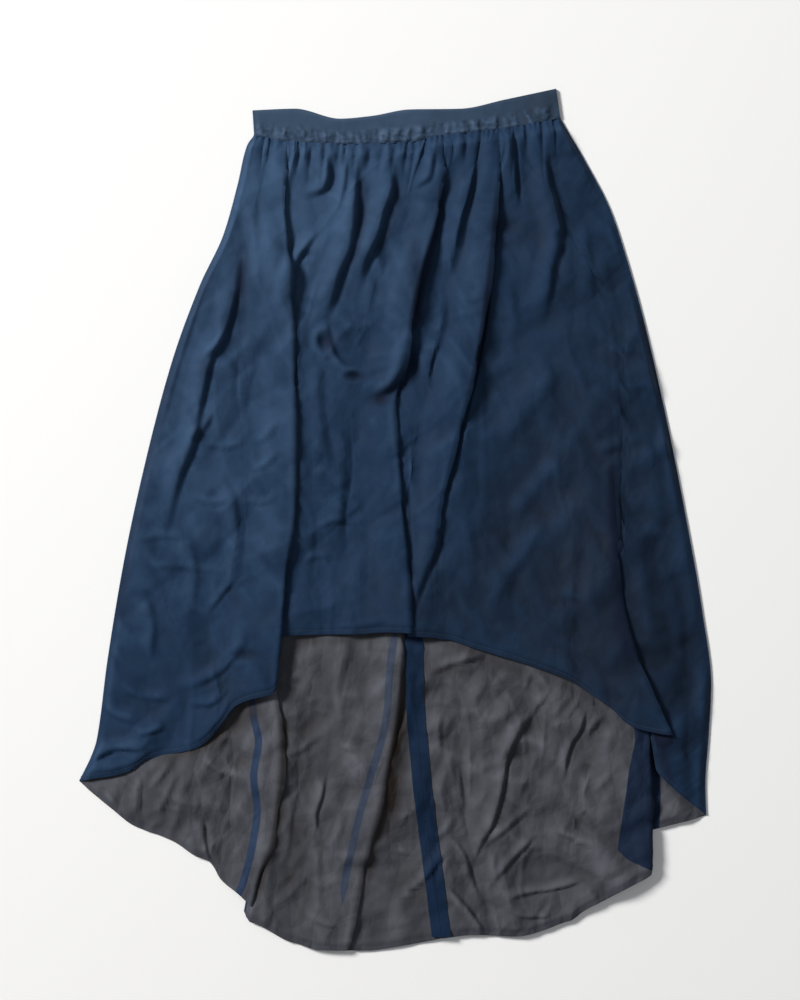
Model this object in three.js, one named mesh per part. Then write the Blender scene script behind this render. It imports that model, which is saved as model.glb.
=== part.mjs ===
// A gathered high-low skirt of thin navy cloth, laid flat on its back panels with the front hem up.
// Units are millimetres. +X is to the right of the skirt as it lies, +Y towards the waist, +Z up.
// The origin is under the middle of the skirt, on the surface that it lies on.
import * as THREE from "three";

// Driving dimensions
const clothWall = 1.2;
const bandWall = 2;
const seamGap = 0.3;
const allowanceWidth = 11;
const allowanceWall = 1;
const gatherHeightAtSeam = 1.4;
const gatherHeightBelow = 2.6;
const gatherFullAt = 22;
const backGatherPitch = 15;
const backGatherHeight = 1.5;
const backGatherHeightAtSeam = 0.5;
const backGatherLength = 60;
const edgeGatherLength = 30;
const seamLevel = 455;
const rightSeamLevel = 482;
const allowanceTop = 447;
const allowanceEnd = -499;
const restingLift = 1.5;
const sideBlend = 34;
const lowFoldHeight = 1.5;
const fullFoldHeight = 5.6;
const seamSettling = 4;
const normalStep = 0.004;

// Profile of a soft ridge, in shares of its width across and of its length along
const ridgeRiseStart = 1.3;
const ridgeRiseWidth = 0.95;
const ridgeFallStart = 0.35;
const ridgeFallWidth = 0.5;
const ridgeTopFade = 0.3;
const ridgeEndFade = 0.35;

// How wide the front's rise over each thing under it is, and how far it takes to fade
const tuckCoverShift = 10;
const tuckCoverReach = 28;
const tuckCoverFade = 40;
const allowanceCoverReach = 4;
const allowanceCoverFade = 20;
const gatherCoverFade = 30;

// Spacing of the back gathers: unevenness of place and length, and the clear space at the seams
const pitchUnevenness = 0.25;
const pitchTurn = 2.4;
const lengthShare = 0.75;
const lengthUnevenness = 0.25;
const lengthTurn = 1.9;
const centreClearance = 12;
const centreGap = 8;
const firstBackGather = -160;
const lastBackGather = 190;

// Points of the meshes: places between two gather valleys, and counts of rows and columns
const crestShares = [0, 0.36, 0.68];
const railMargin = 0.02;
const bandSteps = 32;
const allowanceSteps = 18;

// Side edges of the skirt as it lies, from the waist seam down to the hem corners
const leftSide = [
  { y: 461, x: -167 },
  { y: 448, x: -176 },
  { y: 402, x: -187 },
  { y: 342, x: -204 },
  { y: 282, x: -232 },
  { y: 192, x: -265 },
  { y: 72, x: -297 },
  { y: -48, x: -323 },
  { y: -168, x: -343 },
  { y: -264, x: -356 },
  { y: -282, x: -362 },
  { y: -313, x: -377 },
];
const rightSide = [
  { y: 482, x: 200 },
  { y: 468, x: 208 },
  { y: 432, x: 229 },
  { y: 372, x: 260 },
  { y: 312, x: 280 },
  { y: 252, x: 297 },
  { y: 132, x: 325 },
  { y: 12, x: 349 },
  { y: -108, x: 370 },
  { y: -198, x: 381 },
  { y: -258, x: 378 },
  { y: -318, x: 374 },
  { y: -354, x: 375 },
];

// Waistband edges: the free top edge and the seam that the gathers hang from
const waistTop = [
  { x: -169, y: 491 },
  { x: -118, y: 493 },
  { x: -64, y: 481 },
  { x: -28, y: 484 },
  { x: 20, y: 492 },
  { x: 80, y: 493 },
  { x: 134, y: 504 },
  { x: 195, y: 517 },
];
const waistSeam = [
  { x: -167, y: 461 },
  { x: -136, y: 454 },
  { x: -58, y: 450 },
  { x: 8, y: 452 },
  { x: 64, y: 461 },
  { x: 128, y: 468 },
  { x: 164, y: 474 },
  { x: 200, y: 482 },
];

// Front hem: short in the middle and falling to the side seams, with a step at each tuck.
// A row beside a tuck names the tuck, counted from the left, and a place in its cross-section.
const frontHem = [
  { x: -377, y: -313 },
  { x: -362, y: -310 },
  { x: -340, y: -306 },
  { x: -319, y: -298 },
  { x: -304, y: -286 },
  { x: -256, y: -274 },
  { x: -214, y: -250 },
  { tuck: 0, flat: -42, y: -222 },
  { tuck: 0, flat: -26, y: -214 },
  { tuck: 0, flat: -8, y: -206 },
  { tuck: 0, flat: 3, y: -144 },
  { x: -76, y: -137 },
  { tuck: 1, flat: -26, y: -134 },
  { tuck: 1, flat: -8, y: -135 },
  { tuck: 1, flat: 3, y: -139 },
  { x: 68, y: -143 },
  { x: 116, y: -157 },
  { x: 188, y: -188 },
  { x: 254, y: -224 },
  { tuck: 3, flat: -26, y: -249 },
  { tuck: 3, flat: -8, y: -256 },
  { tuck: 3, flat: 3, y: -266 },
  { x: 326, y: -306 },
  { x: 353, y: -334 },
  { x: 375, y: -354 },
];

// Back hem: the long rounded tail, left and right of the centre back seam
const backLeftHem = [
  { x: -377, y: -313 },
  { x: -340, y: -348 },
  { x: -322, y: -366 },
  { x: -286, y: -383 },
  { x: -250, y: -404 },
  { tuck: 0, flat: -42, y: -430 },
  { tuck: 0, flat: -26, y: -442 },
  { tuck: 0, flat: -8, y: -460 },
  { tuck: 0, flat: 3, y: -472 },
  { x: -160, y: -484 },
  { x: -124, y: -506 },
  { tuck: 1, flat: -26, y: -515 },
  { tuck: 1, flat: -8, y: -515 },
  { tuck: 1, flat: 3, y: -516 },
  { x: -16, y: -516 },
  { x: 20, y: -510 },
  { x: 60, y: -501 },
];
const backRightHem = [
  { x: 60, y: -501 },
  { x: 92, y: -497 },
  { x: 128, y: -499 },
  { x: 196, y: -481 },
  { tuck: 0, flat: -42, y: -467 },
  { tuck: 0, flat: -26, y: -456 },
  { tuck: 0, flat: -14, y: -438 },
  { tuck: 0, flat: -8, y: -426 },
  { tuck: 0, flat: -5, y: -422 },
  { tuck: 0, flat: -3, y: -416 },
  { tuck: 0, flat: -1, y: -396 },
  { tuck: 0, flat: 3, y: -388 },
  { x: 312, y: -373 },
  { x: 344, y: -364 },
  { x: 375, y: -354 },
];
const backSeam = [
  { y: 456, x: 16 },
  { y: -84, x: 24 },
  { y: -192, x: 25 },
  { y: -312, x: 34 },
  { y: -432, x: 49 },
  { y: -520, x: 60 },
];

// Cross-section of a tuck, from the cloth that rises on its left to the cloth that runs on at its right.
// flat is the place before folding, reach the place when folded, over the share of the tuck's overhang
// and lift the share of its height.
const tuckSection = [
  { flat: -60, reach: -60, over: 0, lift: 0 },
  { flat: -42, reach: -42, over: 0, lift: 0.3 },
  { flat: -26, reach: -24, over: 0.1, lift: 0.76 },
  { flat: -14, reach: -10, over: 0.6, lift: 0.96 },
  { flat: -8, reach: -2, over: 1, lift: 1 },
  { flat: -5, reach: 0, over: 1, lift: 0.82 },
  { flat: -3, reach: -2, over: 0.9, lift: 0.66 },
  { flat: -1, reach: 0, over: 0.08, lift: 0.56 },
  { flat: 1, reach: -2, over: 0, lift: 0.29 },
  { flat: 3, reach: 0, over: 0, lift: 0 },
  { flat: 9, reach: 9, over: 0, lift: 0 },
];

// Long tucks of the front panel: the line of each valley, with the height and overhang of the cloth on its left
const frontTucks = {
  leftTuck: [
    { y: 450, x: -128, height: 0, overhang: 0, spread: 0.3 },
    { y: 430, x: -130, height: 3, overhang: 0, spread: 0.35 },
    { y: 384, x: -133, height: 6, overhang: 1, spread: 0.5 },
    { y: 324, x: -130, height: 8, overhang: 3, spread: 0.8 },
    { y: 228, x: -124, height: 9, overhang: 3, spread: 1 },
    { y: 24, x: -121, height: 9, overhang: 3, spread: 1 },
    { y: -48, x: -131, height: 9, overhang: 4, spread: 1 },
    { y: -132, x: -139, height: 8, overhang: 4, spread: 1 },
    { y: -210, x: -146, height: 7, overhang: 4, spread: 1 },
  ],
  middleTuck: [
    { y: 460, x: 59, height: 0, overhang: 0, spread: 0.3 },
    { y: 378, x: 52, height: 8, overhang: 2, spread: 0.6 },
    { y: 300, x: 29, height: 14, overhang: 5, spread: 0.7 },
    { y: 240, x: 16, height: 14, overhang: 5, spread: 0.8 },
    { y: 180, x: 9, height: 10, overhang: 3, spread: 0.8 },
    { y: 132, x: -1, height: 6, overhang: 1, spread: 0.8 },
    { y: 60, x: 5, height: 6, overhang: 1, spread: 0.8 },
    { y: -84, x: 15, height: 7, overhang: 2, spread: 0.9 },
    { y: -140, x: 17, height: 6, overhang: 2, spread: 0.9 },
  ],
  longTuck: [
    { y: 466, x: 128, height: 0, overhang: 0, spread: 0.3 },
    { y: 396, x: 121, height: 6, overhang: 1, spread: 0.5 },
    { y: 324, x: 113, height: 11, overhang: 4, spread: 0.7 },
    { y: 204, x: 100, height: 13, overhang: 5, spread: 0.8 },
    { y: 84, x: 74, height: 11, overhang: 4, spread: 0.7 },
    { y: 0, x: 55, height: 6, overhang: 1, spread: 0.5 },
    { y: -60, x: 52, height: 1, overhang: 0, spread: 0.35 },
    { y: -160, x: 54, height: 0, overhang: 0, spread: 0.3 },
  ],
  rightTuck: [
    { y: 474, x: 177, height: 0, overhang: 0, spread: 0.3 },
    { y: 384, x: 188, height: 1, overhang: 0, spread: 0.5 },
    { y: 216, x: 255, height: 2, overhang: 0, spread: 0.7 },
    { y: 60, x: 261, height: 4, overhang: 0, spread: 0.8 },
    { y: -66, x: 265, height: 6, overhang: 1, spread: 0.8 },
    { y: -132, x: 274, height: 7, overhang: 4, spread: 0.8 },
    { y: -190, x: 290, height: 8, overhang: 10, spread: 0.7 },
    { y: -256, x: 308, height: 9, overhang: 22, spread: 0.6 },
  ],
};

// Tucks of the back panels, which fade out under the front
const backTucks = {
  leftTuck: [
    { y: 456, x: -120, height: 0, overhang: 0, spread: 0.3 },
    { y: 0, x: -124, height: 0, overhang: 0, spread: 0.8 },
    { y: -132, x: -139, height: 4, overhang: 1, spread: 0.9 },
    { y: -206, x: -146, height: 6, overhang: 4, spread: 1 },
    { y: -264, x: -140, height: 7, overhang: 5, spread: 1 },
    { y: -372, x: -151, height: 7, overhang: 6, spread: 1 },
    { y: -432, x: -170, height: 7, overhang: 6, spread: 0.9 },
    { y: -480, x: -180, height: 6, overhang: 4, spread: 0.8 },
  ],
  middleTuck: [
    { y: 456, x: -8, height: 0, overhang: 0, spread: 0.3 },
    { y: 0, x: 2, height: 0, overhang: 0, spread: 0.5 },
    { y: -84, x: 7, height: 2, overhang: 0, spread: 0.55 },
    { y: -144, x: 7, height: 6, overhang: 2, spread: 0.6 },
    { y: -228, x: 0, height: 6, overhang: 3, spread: 0.8 },
    { y: -324, x: -16, height: 7, overhang: 5, spread: 1 },
    { y: -420, x: -37, height: 6, overhang: 4, spread: 1 },
    { y: -516, x: -56, height: 5.6, overhang: 2, spread: 1 },
  ],
  rightTuck: [
    { y: 470, x: 172, height: 0, overhang: 0, spread: 0.3 },
    { y: 60, x: 258, height: 0, overhang: 0, spread: 0.7 },
    { y: -90, x: 278, height: 5.6, overhang: 2, spread: 0.8 },
    { y: -190, x: 290, height: 7.5, overhang: 12, spread: 0.8 },
    { y: -246, x: 284, height: 8, overhang: 22, spread: 0.8 },
    { y: -330, x: 275, height: 8.6, overhang: 32, spread: 0.9 },
    { y: -400, x: 268, height: 8.6, overhang: 39, spread: 0.9 },
  ],
};

// Shorter folds that lie as soft ridges, steep on the right: the line of each valley from its top to its end
const frontRidges = [
  { yTop: 448, xTop: -46, yMid: 324, xMid: -52, yEnd: 236, xEnd: -86, width: 34, height: 7 },
  { yTop: 440, xTop: -78, yMid: 384, xMid: -84, yEnd: 366, xEnd: -100, width: 22, height: 3 },
  { yTop: 440, xTop: 0, yMid: 350, xMid: -14, yEnd: 284, xEnd: -42, width: 30, height: 7 },
  { yTop: 444, xTop: 104, yMid: 324, xMid: 78, yEnd: 150, xEnd: 46, width: 26, height: 7 },
  { yTop: 470, xTop: 178, yMid: 338, xMid: 198, yEnd: 236, xEnd: 176, width: 34, height: 5 },
  { yTop: 340, xTop: -180, yMid: 204, xMid: -208, yEnd: 6, xEnd: -270, width: 40, height: 7 },
  { yTop: 200, xTop: 206, yMid: 120, xMid: 160, yEnd: 40, xEnd: 120, width: 30, height: 3 },
  { yTop: 20, xTop: 188, yMid: -48, xMid: 150, yEnd: -120, xEnd: 112, width: 30, height: 3 },
  { yTop: 200, xTop: -86, yMid: 120, xMid: -78, yEnd: 20, xEnd: -68, width: 26, height: 3 },
];
const backRidges = [
  { yTop: -150, xTop: 150, yMid: -170, xMid: 90, yEnd: -200, xEnd: 44, width: 20, height: 2.5 },
  { yTop: -180, xTop: 196, yMid: -270, xMid: 142, yEnd: -400, xEnd: 98, width: 26, height: 3 },
  { yTop: -220, xTop: 236, yMid: -270, xMid: 212, yEnd: -330, xEnd: 200, width: 20, height: 2.5 },
  { yTop: -290, xTop: -290, yMid: -320, xMid: -300, yEnd: -352, xEnd: -310, width: 20, height: 2.5 },
  { yTop: -276, xTop: -256, yMid: -320, xMid: -274, yEnd: -384, xEnd: -286, width: 20, height: 2.5 },
];

// Gathers of the front: where each valley leaves the seam and how far down it runs
const frontGathers = [
  { x: -155, length: 50 },
  { x: -148, length: 30 },
  { x: -128, length: 90 },
  { x: -110, length: 45 },
  { x: -95, length: 60 },
  { x: -79, length: 80 },
  { x: -64, length: 40 },
  { x: -57, length: 35 },
  { x: -46, length: 90 },
  { x: -31, length: 40 },
  { x: -18, length: 60 },
  { x: -4, length: 45 },
  { x: 11, length: 50 },
  { x: 21, length: 80 },
  { x: 38, length: 50 },
  { x: 59, length: 90 },
  { x: 70, length: 40 },
  { x: 86, length: 45 },
  { x: 104, length: 90 },
  { x: 126, length: 80 },
  { x: 143, length: 80 },
  { x: 160, length: 45 },
  { x: 177, length: 90 },
  { x: 190, length: 50 },
];

// Rows of points down a panel: the share of the way from the waist seam to the hem
const gatherRows = [0, 0.02, 0.045, 0.075, 0.105];
const bodyRowCount = 15;
const bodyRowStart = 0.14;

const mix = (a, b, t) => a + (b - a) * t;
const clamp01 = (t) => Math.min(1, Math.max(0, t));
const smooth = (t) => clamp01(t) ** 2 * (3 - 2 * clamp01(t));

// A smooth curve through table rows that never overshoots them, as a function of the key column
function curveThrough(rows, key, value) {
  const sorted = [...rows].sort((a, b) => a[key] - b[key]);
  const k = sorted.map((row) => row[key]);
  const v = sorted.map((row) => row[value]);
  const last = k.length - 1;
  const slopes = k.slice(1).map((next, i) => (v[i + 1] - v[i]) / (next - k[i]));
  const tangents = k.map((_, i) => {
    if (i === 0) return slopes[0];
    if (i === last) return slopes[last - 1];
    const before = slopes[i - 1];
    const after = slopes[i];
    return before * after <= 0 ? 0 : (2 * before * after) / (before + after);
  });
  return (at) => {
    if (at <= k[0]) return v[0];
    if (at >= k[last]) return v[last];
    const i = k.findIndex((next) => next > at) - 1;
    const span = k[i + 1] - k[i];
    const t = (at - k[i]) / span;
    const hold = (1 + 2 * t) * (1 - t) ** 2 * v[i] + t * t * (3 - 2 * t) * v[i + 1];
    return hold + span * (t * (1 - t) ** 2 * tangents[i] - t * t * (1 - t) * tangents[i + 1]);
  };
}

const leftEdge = curveThrough(leftSide, "y", "x");
const rightEdge = curveThrough(rightSide, "y", "x");
const seamHeight = curveThrough(waistSeam, "x", "y");
const bandTop = curveThrough(waistTop, "x", "y");
const backSeamLine = curveThrough(backSeam, "y", "x");

// A tuck as smooth functions of y
function tuckFrom(rows) {
  return {
    line: curveThrough(rows, "y", "x"),
    height: curveThrough(rows, "y", "height"),
    overhang: curveThrough(rows, "y", "overhang"),
    spread: curveThrough(rows, "y", "spread"),
  };
}

// Height of the soft ridges over a place on a panel
function ridgeLift(ridges, x, y) {
  return ridges.reduce((sum, ridge) => {
    const along = (ridge.yTop - y) / (ridge.yTop - ridge.yEnd);
    if (along <= 0 || along >= 1) return sum;
    const middle = (ridge.yTop - ridge.yMid) / (ridge.yTop - ridge.yEnd);
    const line =
      along < middle
        ? mix(ridge.xTop, ridge.xMid, along / middle)
        : mix(ridge.xMid, ridge.xEnd, (along - middle) / (1 - middle));
    const across = (x - line) / ridge.width;
    const rise = smooth((across + ridgeRiseStart) / ridgeRiseWidth);
    const fall = 1 - smooth((across + ridgeFallStart) / ridgeFallWidth);
    const fromTop = smooth(along / ridgeTopFade);
    const fromEnd = smooth((1 - along) / ridgeEndFade);
    return sum + ridge.height * fromTop * fromEnd * rise * fall;
  }, 0);
}

// Rails run down a panel: its two edges, and the lines of each tuck's cross-section between them
function railsOf(firstEdge, tucks, lastEdge) {
  const edgeRail = (line) => ({ flatX: line, x: line, z: () => 0 });
  const tuckRails = tucks.flatMap((tuck) =>
    tuckSection.map((row) => {
      const folded = (y) => smooth((tuck.height(y) - lowFoldHeight) / (fullFoldHeight - lowFoldHeight));
      return {
        flatX: (y) => tuck.line(y) + tuck.spread(y) * row.flat,
        x: (y) =>
          tuck.line(y) +
          tuck.spread(y) * mix(row.flat, row.reach, folded(y)) +
          row.over * tuck.overhang(y) * folded(y),
        z: (y) => row.lift * tuck.height(y),
      };
    }),
  );
  return [edgeRail(firstEdge), ...tuckRails, edgeRail(lastEdge)];
}

// The value of one rail property between rails u and u + 1
function alongRails(rails, property, u, y) {
  const i = Math.min(Math.floor(u), rails.length - 2);
  return mix(rails[i][property](y), rails[i + 1][property](y), u - i);
}

// The rail coordinate of a flat place on a panel
function railAt(rails, x, y) {
  for (let i = 0; i < rails.length - 1; i += 1) {
    const from = rails[i].flatX(y);
    const to = rails[i + 1].flatX(y);
    if (x <= to || i === rails.length - 2) return i + clamp01((x - from) / (to - from));
  }
  return rails.length - 1;
}

// Columns of a panel: one at each rail, and evenly spaced ones in the wide spans between tucks
function bodyColumns(rails, spans) {
  const columns = [];
  let rail = 0;
  spans.forEach((count, index) => {
    for (let i = 0; i < count; i += 1) columns.push(rail + i / count);
    rail += 1;
    if (index === spans.length - 1) return;
    for (let i = 0; i < tuckSection.length - 1; i += 1) columns.push(rail + i);
    rail += tuckSection.length - 1;
  });
  return [...columns, rails.length - 1];
}

// Columns for the gathered strip: each valley and two places on the crest before the next one,
// and the rails of the tucks, which take the place of the gathers that they grow from
function gatherColumns(rails, valleys, firstX, lastX) {
  const marks = [firstX, ...valleys, lastX];
  const section = tuckSection.length;
  const waves = marks.slice(0, -1).flatMap((mark, i) =>
    crestShares.map((share) => railAt(rails, mix(mark, marks[i + 1], share), seamLevel)),
  );
  const isFree = (u) => Math.floor(u) % section === 0 && u % 1 > railMargin && u % 1 < 1 - railMargin;
  return [...rails.keys(), ...waves.filter(isFree)].sort((a, b) => a - b);
}

// Height of the gathers at a place along the seam, at some depth below it
function gatherLift(marks, lengths, x, depth, atSeam, below) {
  const i = marks.findIndex((mark) => mark > x) - 1;
  if (i < 0) return 0;
  const share = (x - marks[i]) / (marks[i + 1] - marks[i]);
  const length = mix(lengths[i], lengths[i + 1], share);
  const height = mix(atSeam, below, smooth(depth / gatherFullAt));
  return height * Math.sin(Math.PI * share) ** 2 * (1 - smooth(depth / length));
}

// A closed wall of cloth over rows of points: its lower face follows the surface, its upper face is moved out
function wallOf(rows, surface, wall) {
  const lower = [];
  const upper = [];
  const rowStarts = [];
  rows.forEach((row) => {
    rowStarts.push(lower.length);
    row.columns.forEach((u) => {
      const point = surface(u, row.t);
      lower.push(point);
      upper.push(point.clone().addScaledVector(normalOf(surface, u, row.t), wall));
    });
  });
  const faces = [];
  rows.slice(0, -1).forEach((row, r) => {
    const above = row.columns;
    const below = rows[r + 1].columns;
    let a = 0;
    let b = 0;
    while (a < above.length - 1 || b < below.length - 1) {
      const stepAbove = b === below.length - 1 || (a < above.length - 1 && above[a + 1] <= below[b + 1]);
      const corner = rowStarts[r] + a;
      const opposite = rowStarts[r + 1] + b;
      faces.push(stepAbove ? [corner, opposite, corner + 1] : [corner, opposite, opposite + 1]);
      a += stepAbove ? 1 : 0;
      b += stepAbove ? 0 : 1;
    }
  });
  const lastRow = rows.length - 1;
  const range = (start, count) => Array.from({ length: count }, (_, i) => start + i);
  const rowEnd = (r) => rowStarts[r] + rows[r].columns.length - 1;
  const rim = [
    ...range(rowStarts[0], rows[0].columns.length).reverse(),
    ...rowStarts.slice(1),
    ...range(rowStarts[lastRow], rows[lastRow].columns.length).slice(1),
    ...rows.map((_, r) => rowEnd(r)).slice(1, -1).reverse(),
  ];
  const shift = lower.length;
  const sides = rim.flatMap((from, i) => {
    const to = rim[(i + 1) % rim.length];
    return [
      [from, to + shift, from + shift],
      [from, to, to + shift],
    ];
  });
  const triangles = [
    ...faces.map(([p, q, r]) => [p + shift, q + shift, r + shift]),
    ...faces.map(([p, q, r]) => [p, r, q]),
    ...sides,
  ];
  const geometry = new THREE.BufferGeometry();
  const positions = [...lower, ...upper].flatMap((point) => point.toArray());
  geometry.setAttribute("position", new THREE.Float32BufferAttribute(positions, 3));
  geometry.setIndex(triangles.flat());
  geometry.computeVertexNormals();
  return geometry;
}

// The upward normal of a surface, from its slopes along and down the panel
function normalOf(surface, u, t) {
  const before = Math.max(0, u - normalStep);
  const up = Math.max(0, t - normalStep);
  const down = Math.min(1, t + normalStep);
  const along = surface(u + normalStep, t).sub(surface(before, t));
  const downward = surface(u, down).sub(surface(u, up));
  return downward.cross(along).normalize();
}

// A skirt panel: rails across it, a hem table, and the height of the ground that it lies on
function panelOf({ rails, hemRows, ground, extraLift }) {
  const sectionIndex = (flat) => tuckSection.findIndex((row) => row.flat === flat);
  const railOfTuck = (row) => 1 + row.tuck * tuckSection.length + sectionIndex(row.flat);
  const hem = curveThrough(
    hemRows.map((row) => ({ u: row.flat ? railOfTuck(row) : railAt(rails, row.x, row.y), y: row.y })),
    "u",
    "y",
  );
  const lastRail = rails.length - 1;
  return (column, t) => {
    const u = Math.min(column, lastRail);
    let seamX = alongRails(rails, "flatX", u, seamLevel);
    for (let i = 0; i < seamSettling; i += 1) seamX = alongRails(rails, "flatX", u, seamHeight(seamX));
    const top = seamHeight(seamX) - seamGap;
    const y = mix(top, hem(u), t);
    const x = alongRails(rails, "x", u, y);
    const z = alongRails(rails, "z", u, y);
    return new THREE.Vector3(x, y, ground(x, y) + z + extraLift(x, y, seamX, top - y));
  };
}

// How much of the interior height a place has: none at the side seams, all of it further in
function sideShare(x, y) {
  return smooth(Math.min(x - leftEdge(y), rightEdge(y) - x) / sideBlend);
}

const frontTuckList = Object.values(frontTucks).map(tuckFrom);
const [backLeftTuck, backMiddleTuck, backRightTuck] = Object.values(backTucks).map(tuckFrom);

// Height that the front needs over the back's tucks, gathers and seam allowances
function coverOfBack(x, y) {
  const tuckCover = [backLeftTuck, backMiddleTuck, backRightTuck].map((tuck) => {
    const half = tuck.overhang(y) / 2;
    const away = Math.abs(x - tuck.line(y) - half + tuckCoverShift) - half - tuckCoverReach;
    return tuck.height(y) * (1 - smooth(away / tuckCoverFade));
  });
  const fromSeam = Math.abs(x - backSeamLine(y)) - allowanceWidth - allowanceCoverReach;
  const allowanceCover = (allowanceWall + seamGap) * (1 - smooth(fromSeam / allowanceCoverFade));
  const belowSeam = seamHeight(x) - y;
  const gatherCover = backGatherHeight * (1 - smooth((belowSeam - backGatherLength) / gatherCoverFade));
  return Math.max(...tuckCover, allowanceCover, gatherCover) + ridgeLift(backRidges, x, y);
}

function frontGround(x, y) {
  const share = sideShare(x, y);
  return clothWall + seamGap + share * (coverOfBack(x, y) + restingLift - seamGap);
}

const frontSeamEnds = [leftEdge(seamLevel), rightEdge(rightSeamLevel)];
const gatherMarks = [frontSeamEnds[0], ...frontGathers.map((row) => row.x), frontSeamEnds[1]];
const gatherLengths = [edgeGatherLength, ...frontGathers.map((row) => row.length), edgeGatherLength];

function frontLift(x, y, seamX, depth) {
  const gathers = gatherLift(gatherMarks, gatherLengths, seamX, depth, gatherHeightAtSeam, gatherHeightBelow);
  return gathers + ridgeLift(frontRidges, x, y);
}

// Back gathers: even marks from the left side to the right, none beside the centre back seam
const backGatherCount = Math.round((rightEdge(seamLevel) - leftEdge(seamLevel)) / backGatherPitch);
const backMarks = Array.from({ length: backGatherCount + 1 }, (_, i) => {
  const share = (i + pitchUnevenness * Math.sin(pitchTurn * i)) / backGatherCount;
  return mix(leftEdge(seamLevel), rightEdge(seamLevel), share);
});
const backLengths = backMarks.map(
  (_, i) => backGatherLength * (lengthShare + lengthUnevenness * Math.cos(lengthTurn * i)),
);

function backLift(x, y, seamX, depth) {
  const clear = smooth((Math.abs(seamX - backSeamLine(seamLevel)) - allowanceWidth) / centreClearance);
  const gathers = gatherLift(backMarks, backLengths, seamX, depth, backGatherHeightAtSeam, backGatherHeight);
  return sideShare(x, y) * (clear * gathers + ridgeLift(backRidges, x, y));
}

// The rows of a panel: a gathered strip under the seam, then the body down to the hem
function panelRows(topColumns, columns) {
  const body = Array.from({ length: bodyRowCount }, (_, i) => ({
    t: mix(bodyRowStart, 1, i / (bodyRowCount - 1)),
    columns,
  }));
  return [...gatherRows.map((t) => ({ t, columns: topColumns })), ...body];
}

const frontRails = railsOf(leftEdge, frontTuckList, rightEdge);
const backLeftRails = railsOf(leftEdge, [backLeftTuck, backMiddleTuck], (y) => backSeamLine(y) - seamGap / 2);
const backRightRails = railsOf((y) => backSeamLine(y) + seamGap / 2, [backRightTuck], rightEdge);

const frontSurface = panelOf({ rails: frontRails, hemRows: frontHem, ground: frontGround, extraLift: frontLift });
const layFlat = () => 0;
const backLeftSurface = panelOf({
  rails: backLeftRails,
  hemRows: backLeftHem,
  ground: layFlat,
  extraLift: backLift,
});
const backRightSurface = panelOf({
  rails: backRightRails,
  hemRows: backRightHem,
  ground: layFlat,
  extraLift: backLift,
});

// The waistband: a flat tube whose front half lies on its back half
const bandColumns = Array.from({ length: bandSteps + 1 }, (_, i) => i / bandSteps);
const bandRows = [0, 0.5, 1].map((t) => ({ t, columns: bandColumns }));
const bandLeft = { top: -169, seam: -167 };
const bandRight = { top: 195, seam: 200 };

function bandSurface(height) {
  return (share, t) => {
    const x = mix(mix(bandLeft.top, bandLeft.seam, t), mix(bandRight.top, bandRight.seam, t), Math.min(share, 1));
    return new THREE.Vector3(x, mix(bandTop(x), seamHeight(x), t), height);
  };
}

// A seam allowance: a strip on the inside of the back, pressed away from the centre back seam
function allowanceSurface(side) {
  return (share, t) => {
    const y = mix(allowanceTop, allowanceEnd, t);
    const x = backSeamLine(y) + side * (seamGap / 2 + allowanceWidth * (side < 0 ? 1 - share : share));
    const depth = seamHeight(x) - y;
    return new THREE.Vector3(x, y, backLift(x, y, x, depth) + clothWall + seamGap);
  };
}
const allowanceRows = Array.from({ length: allowanceSteps + 1 }, (_, i) => ({
  t: i / allowanceSteps,
  columns: [0, 0.5, 1],
}));

// Cloth colours: navy outside, and a greyer tone where a single layer of the back shows its inside
const finishes = {
  front: { color: 0x2a4160, roughness: 0.85 },
  band: { color: 0x435a78, roughness: 0.85 },
  back: { color: 0x4a4d57, roughness: 0.85 },
  allowance: { color: 0x24344c, roughness: 0.85 },
};

function pieceOf(name, geometry, finish) {
  const mesh = new THREE.Mesh(geometry, new THREE.MeshStandardMaterial({ ...finish, metalness: 0 }));
  mesh.name = name;
  return mesh;
}

const frontRows = panelRows(
  gatherColumns(frontRails, frontGathers.map((row) => row.x), ...frontSeamEnds),
  bodyColumns(frontRails, [8, 10, 3, 10, 6]),
);
const centre = backSeamLine(seamLevel);
const marksBetween = (from, to) => backMarks.filter((x) => x > from && x < to);
const backLeftRows = panelRows(
  gatherColumns(backLeftRails, marksBetween(firstBackGather, centre - centreGap), frontSeamEnds[0], centre),
  bodyColumns(backLeftRails, [7, 4, 3]),
);
const backRightRows = panelRows(
  gatherColumns(backRightRails, marksBetween(centre + centreGap, lastBackGather), centre, frontSeamEnds[1]),
  bodyColumns(backRightRails, [11, 4]),
);

const skirt = new THREE.Group();
skirt.add(
  pieceOf("front_panel", wallOf(frontRows, frontSurface, clothWall), finishes.front),
  pieceOf("back_panel_left", wallOf(backLeftRows, backLeftSurface, clothWall), finishes.back),
  pieceOf("back_panel_right", wallOf(backRightRows, backRightSurface, clothWall), finishes.back),
  pieceOf("seam_allowance_left", wallOf(allowanceRows, allowanceSurface(-1), allowanceWall), finishes.allowance),
  pieceOf("seam_allowance_right", wallOf(allowanceRows, allowanceSurface(1), allowanceWall), finishes.allowance),
  pieceOf("waistband_front", wallOf(bandRows, bandSurface(bandWall + seamGap), bandWall), finishes.band),
  pieceOf("waistband_back", wallOf(bandRows, bandSurface(0), bandWall), finishes.band),
);

export default skirt;
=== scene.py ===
"""Looks of a gathered high-low skirt of thin navy cloth, laid flat with its front panel up.

Tables are in millimetres in the part's own frame: +X to the right, +Y towards the waist, +Z up.
"""

import logging
import math
from dataclasses import dataclass
from enum import Enum
from typing import Callable, NamedTuple, Sequence

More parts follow.
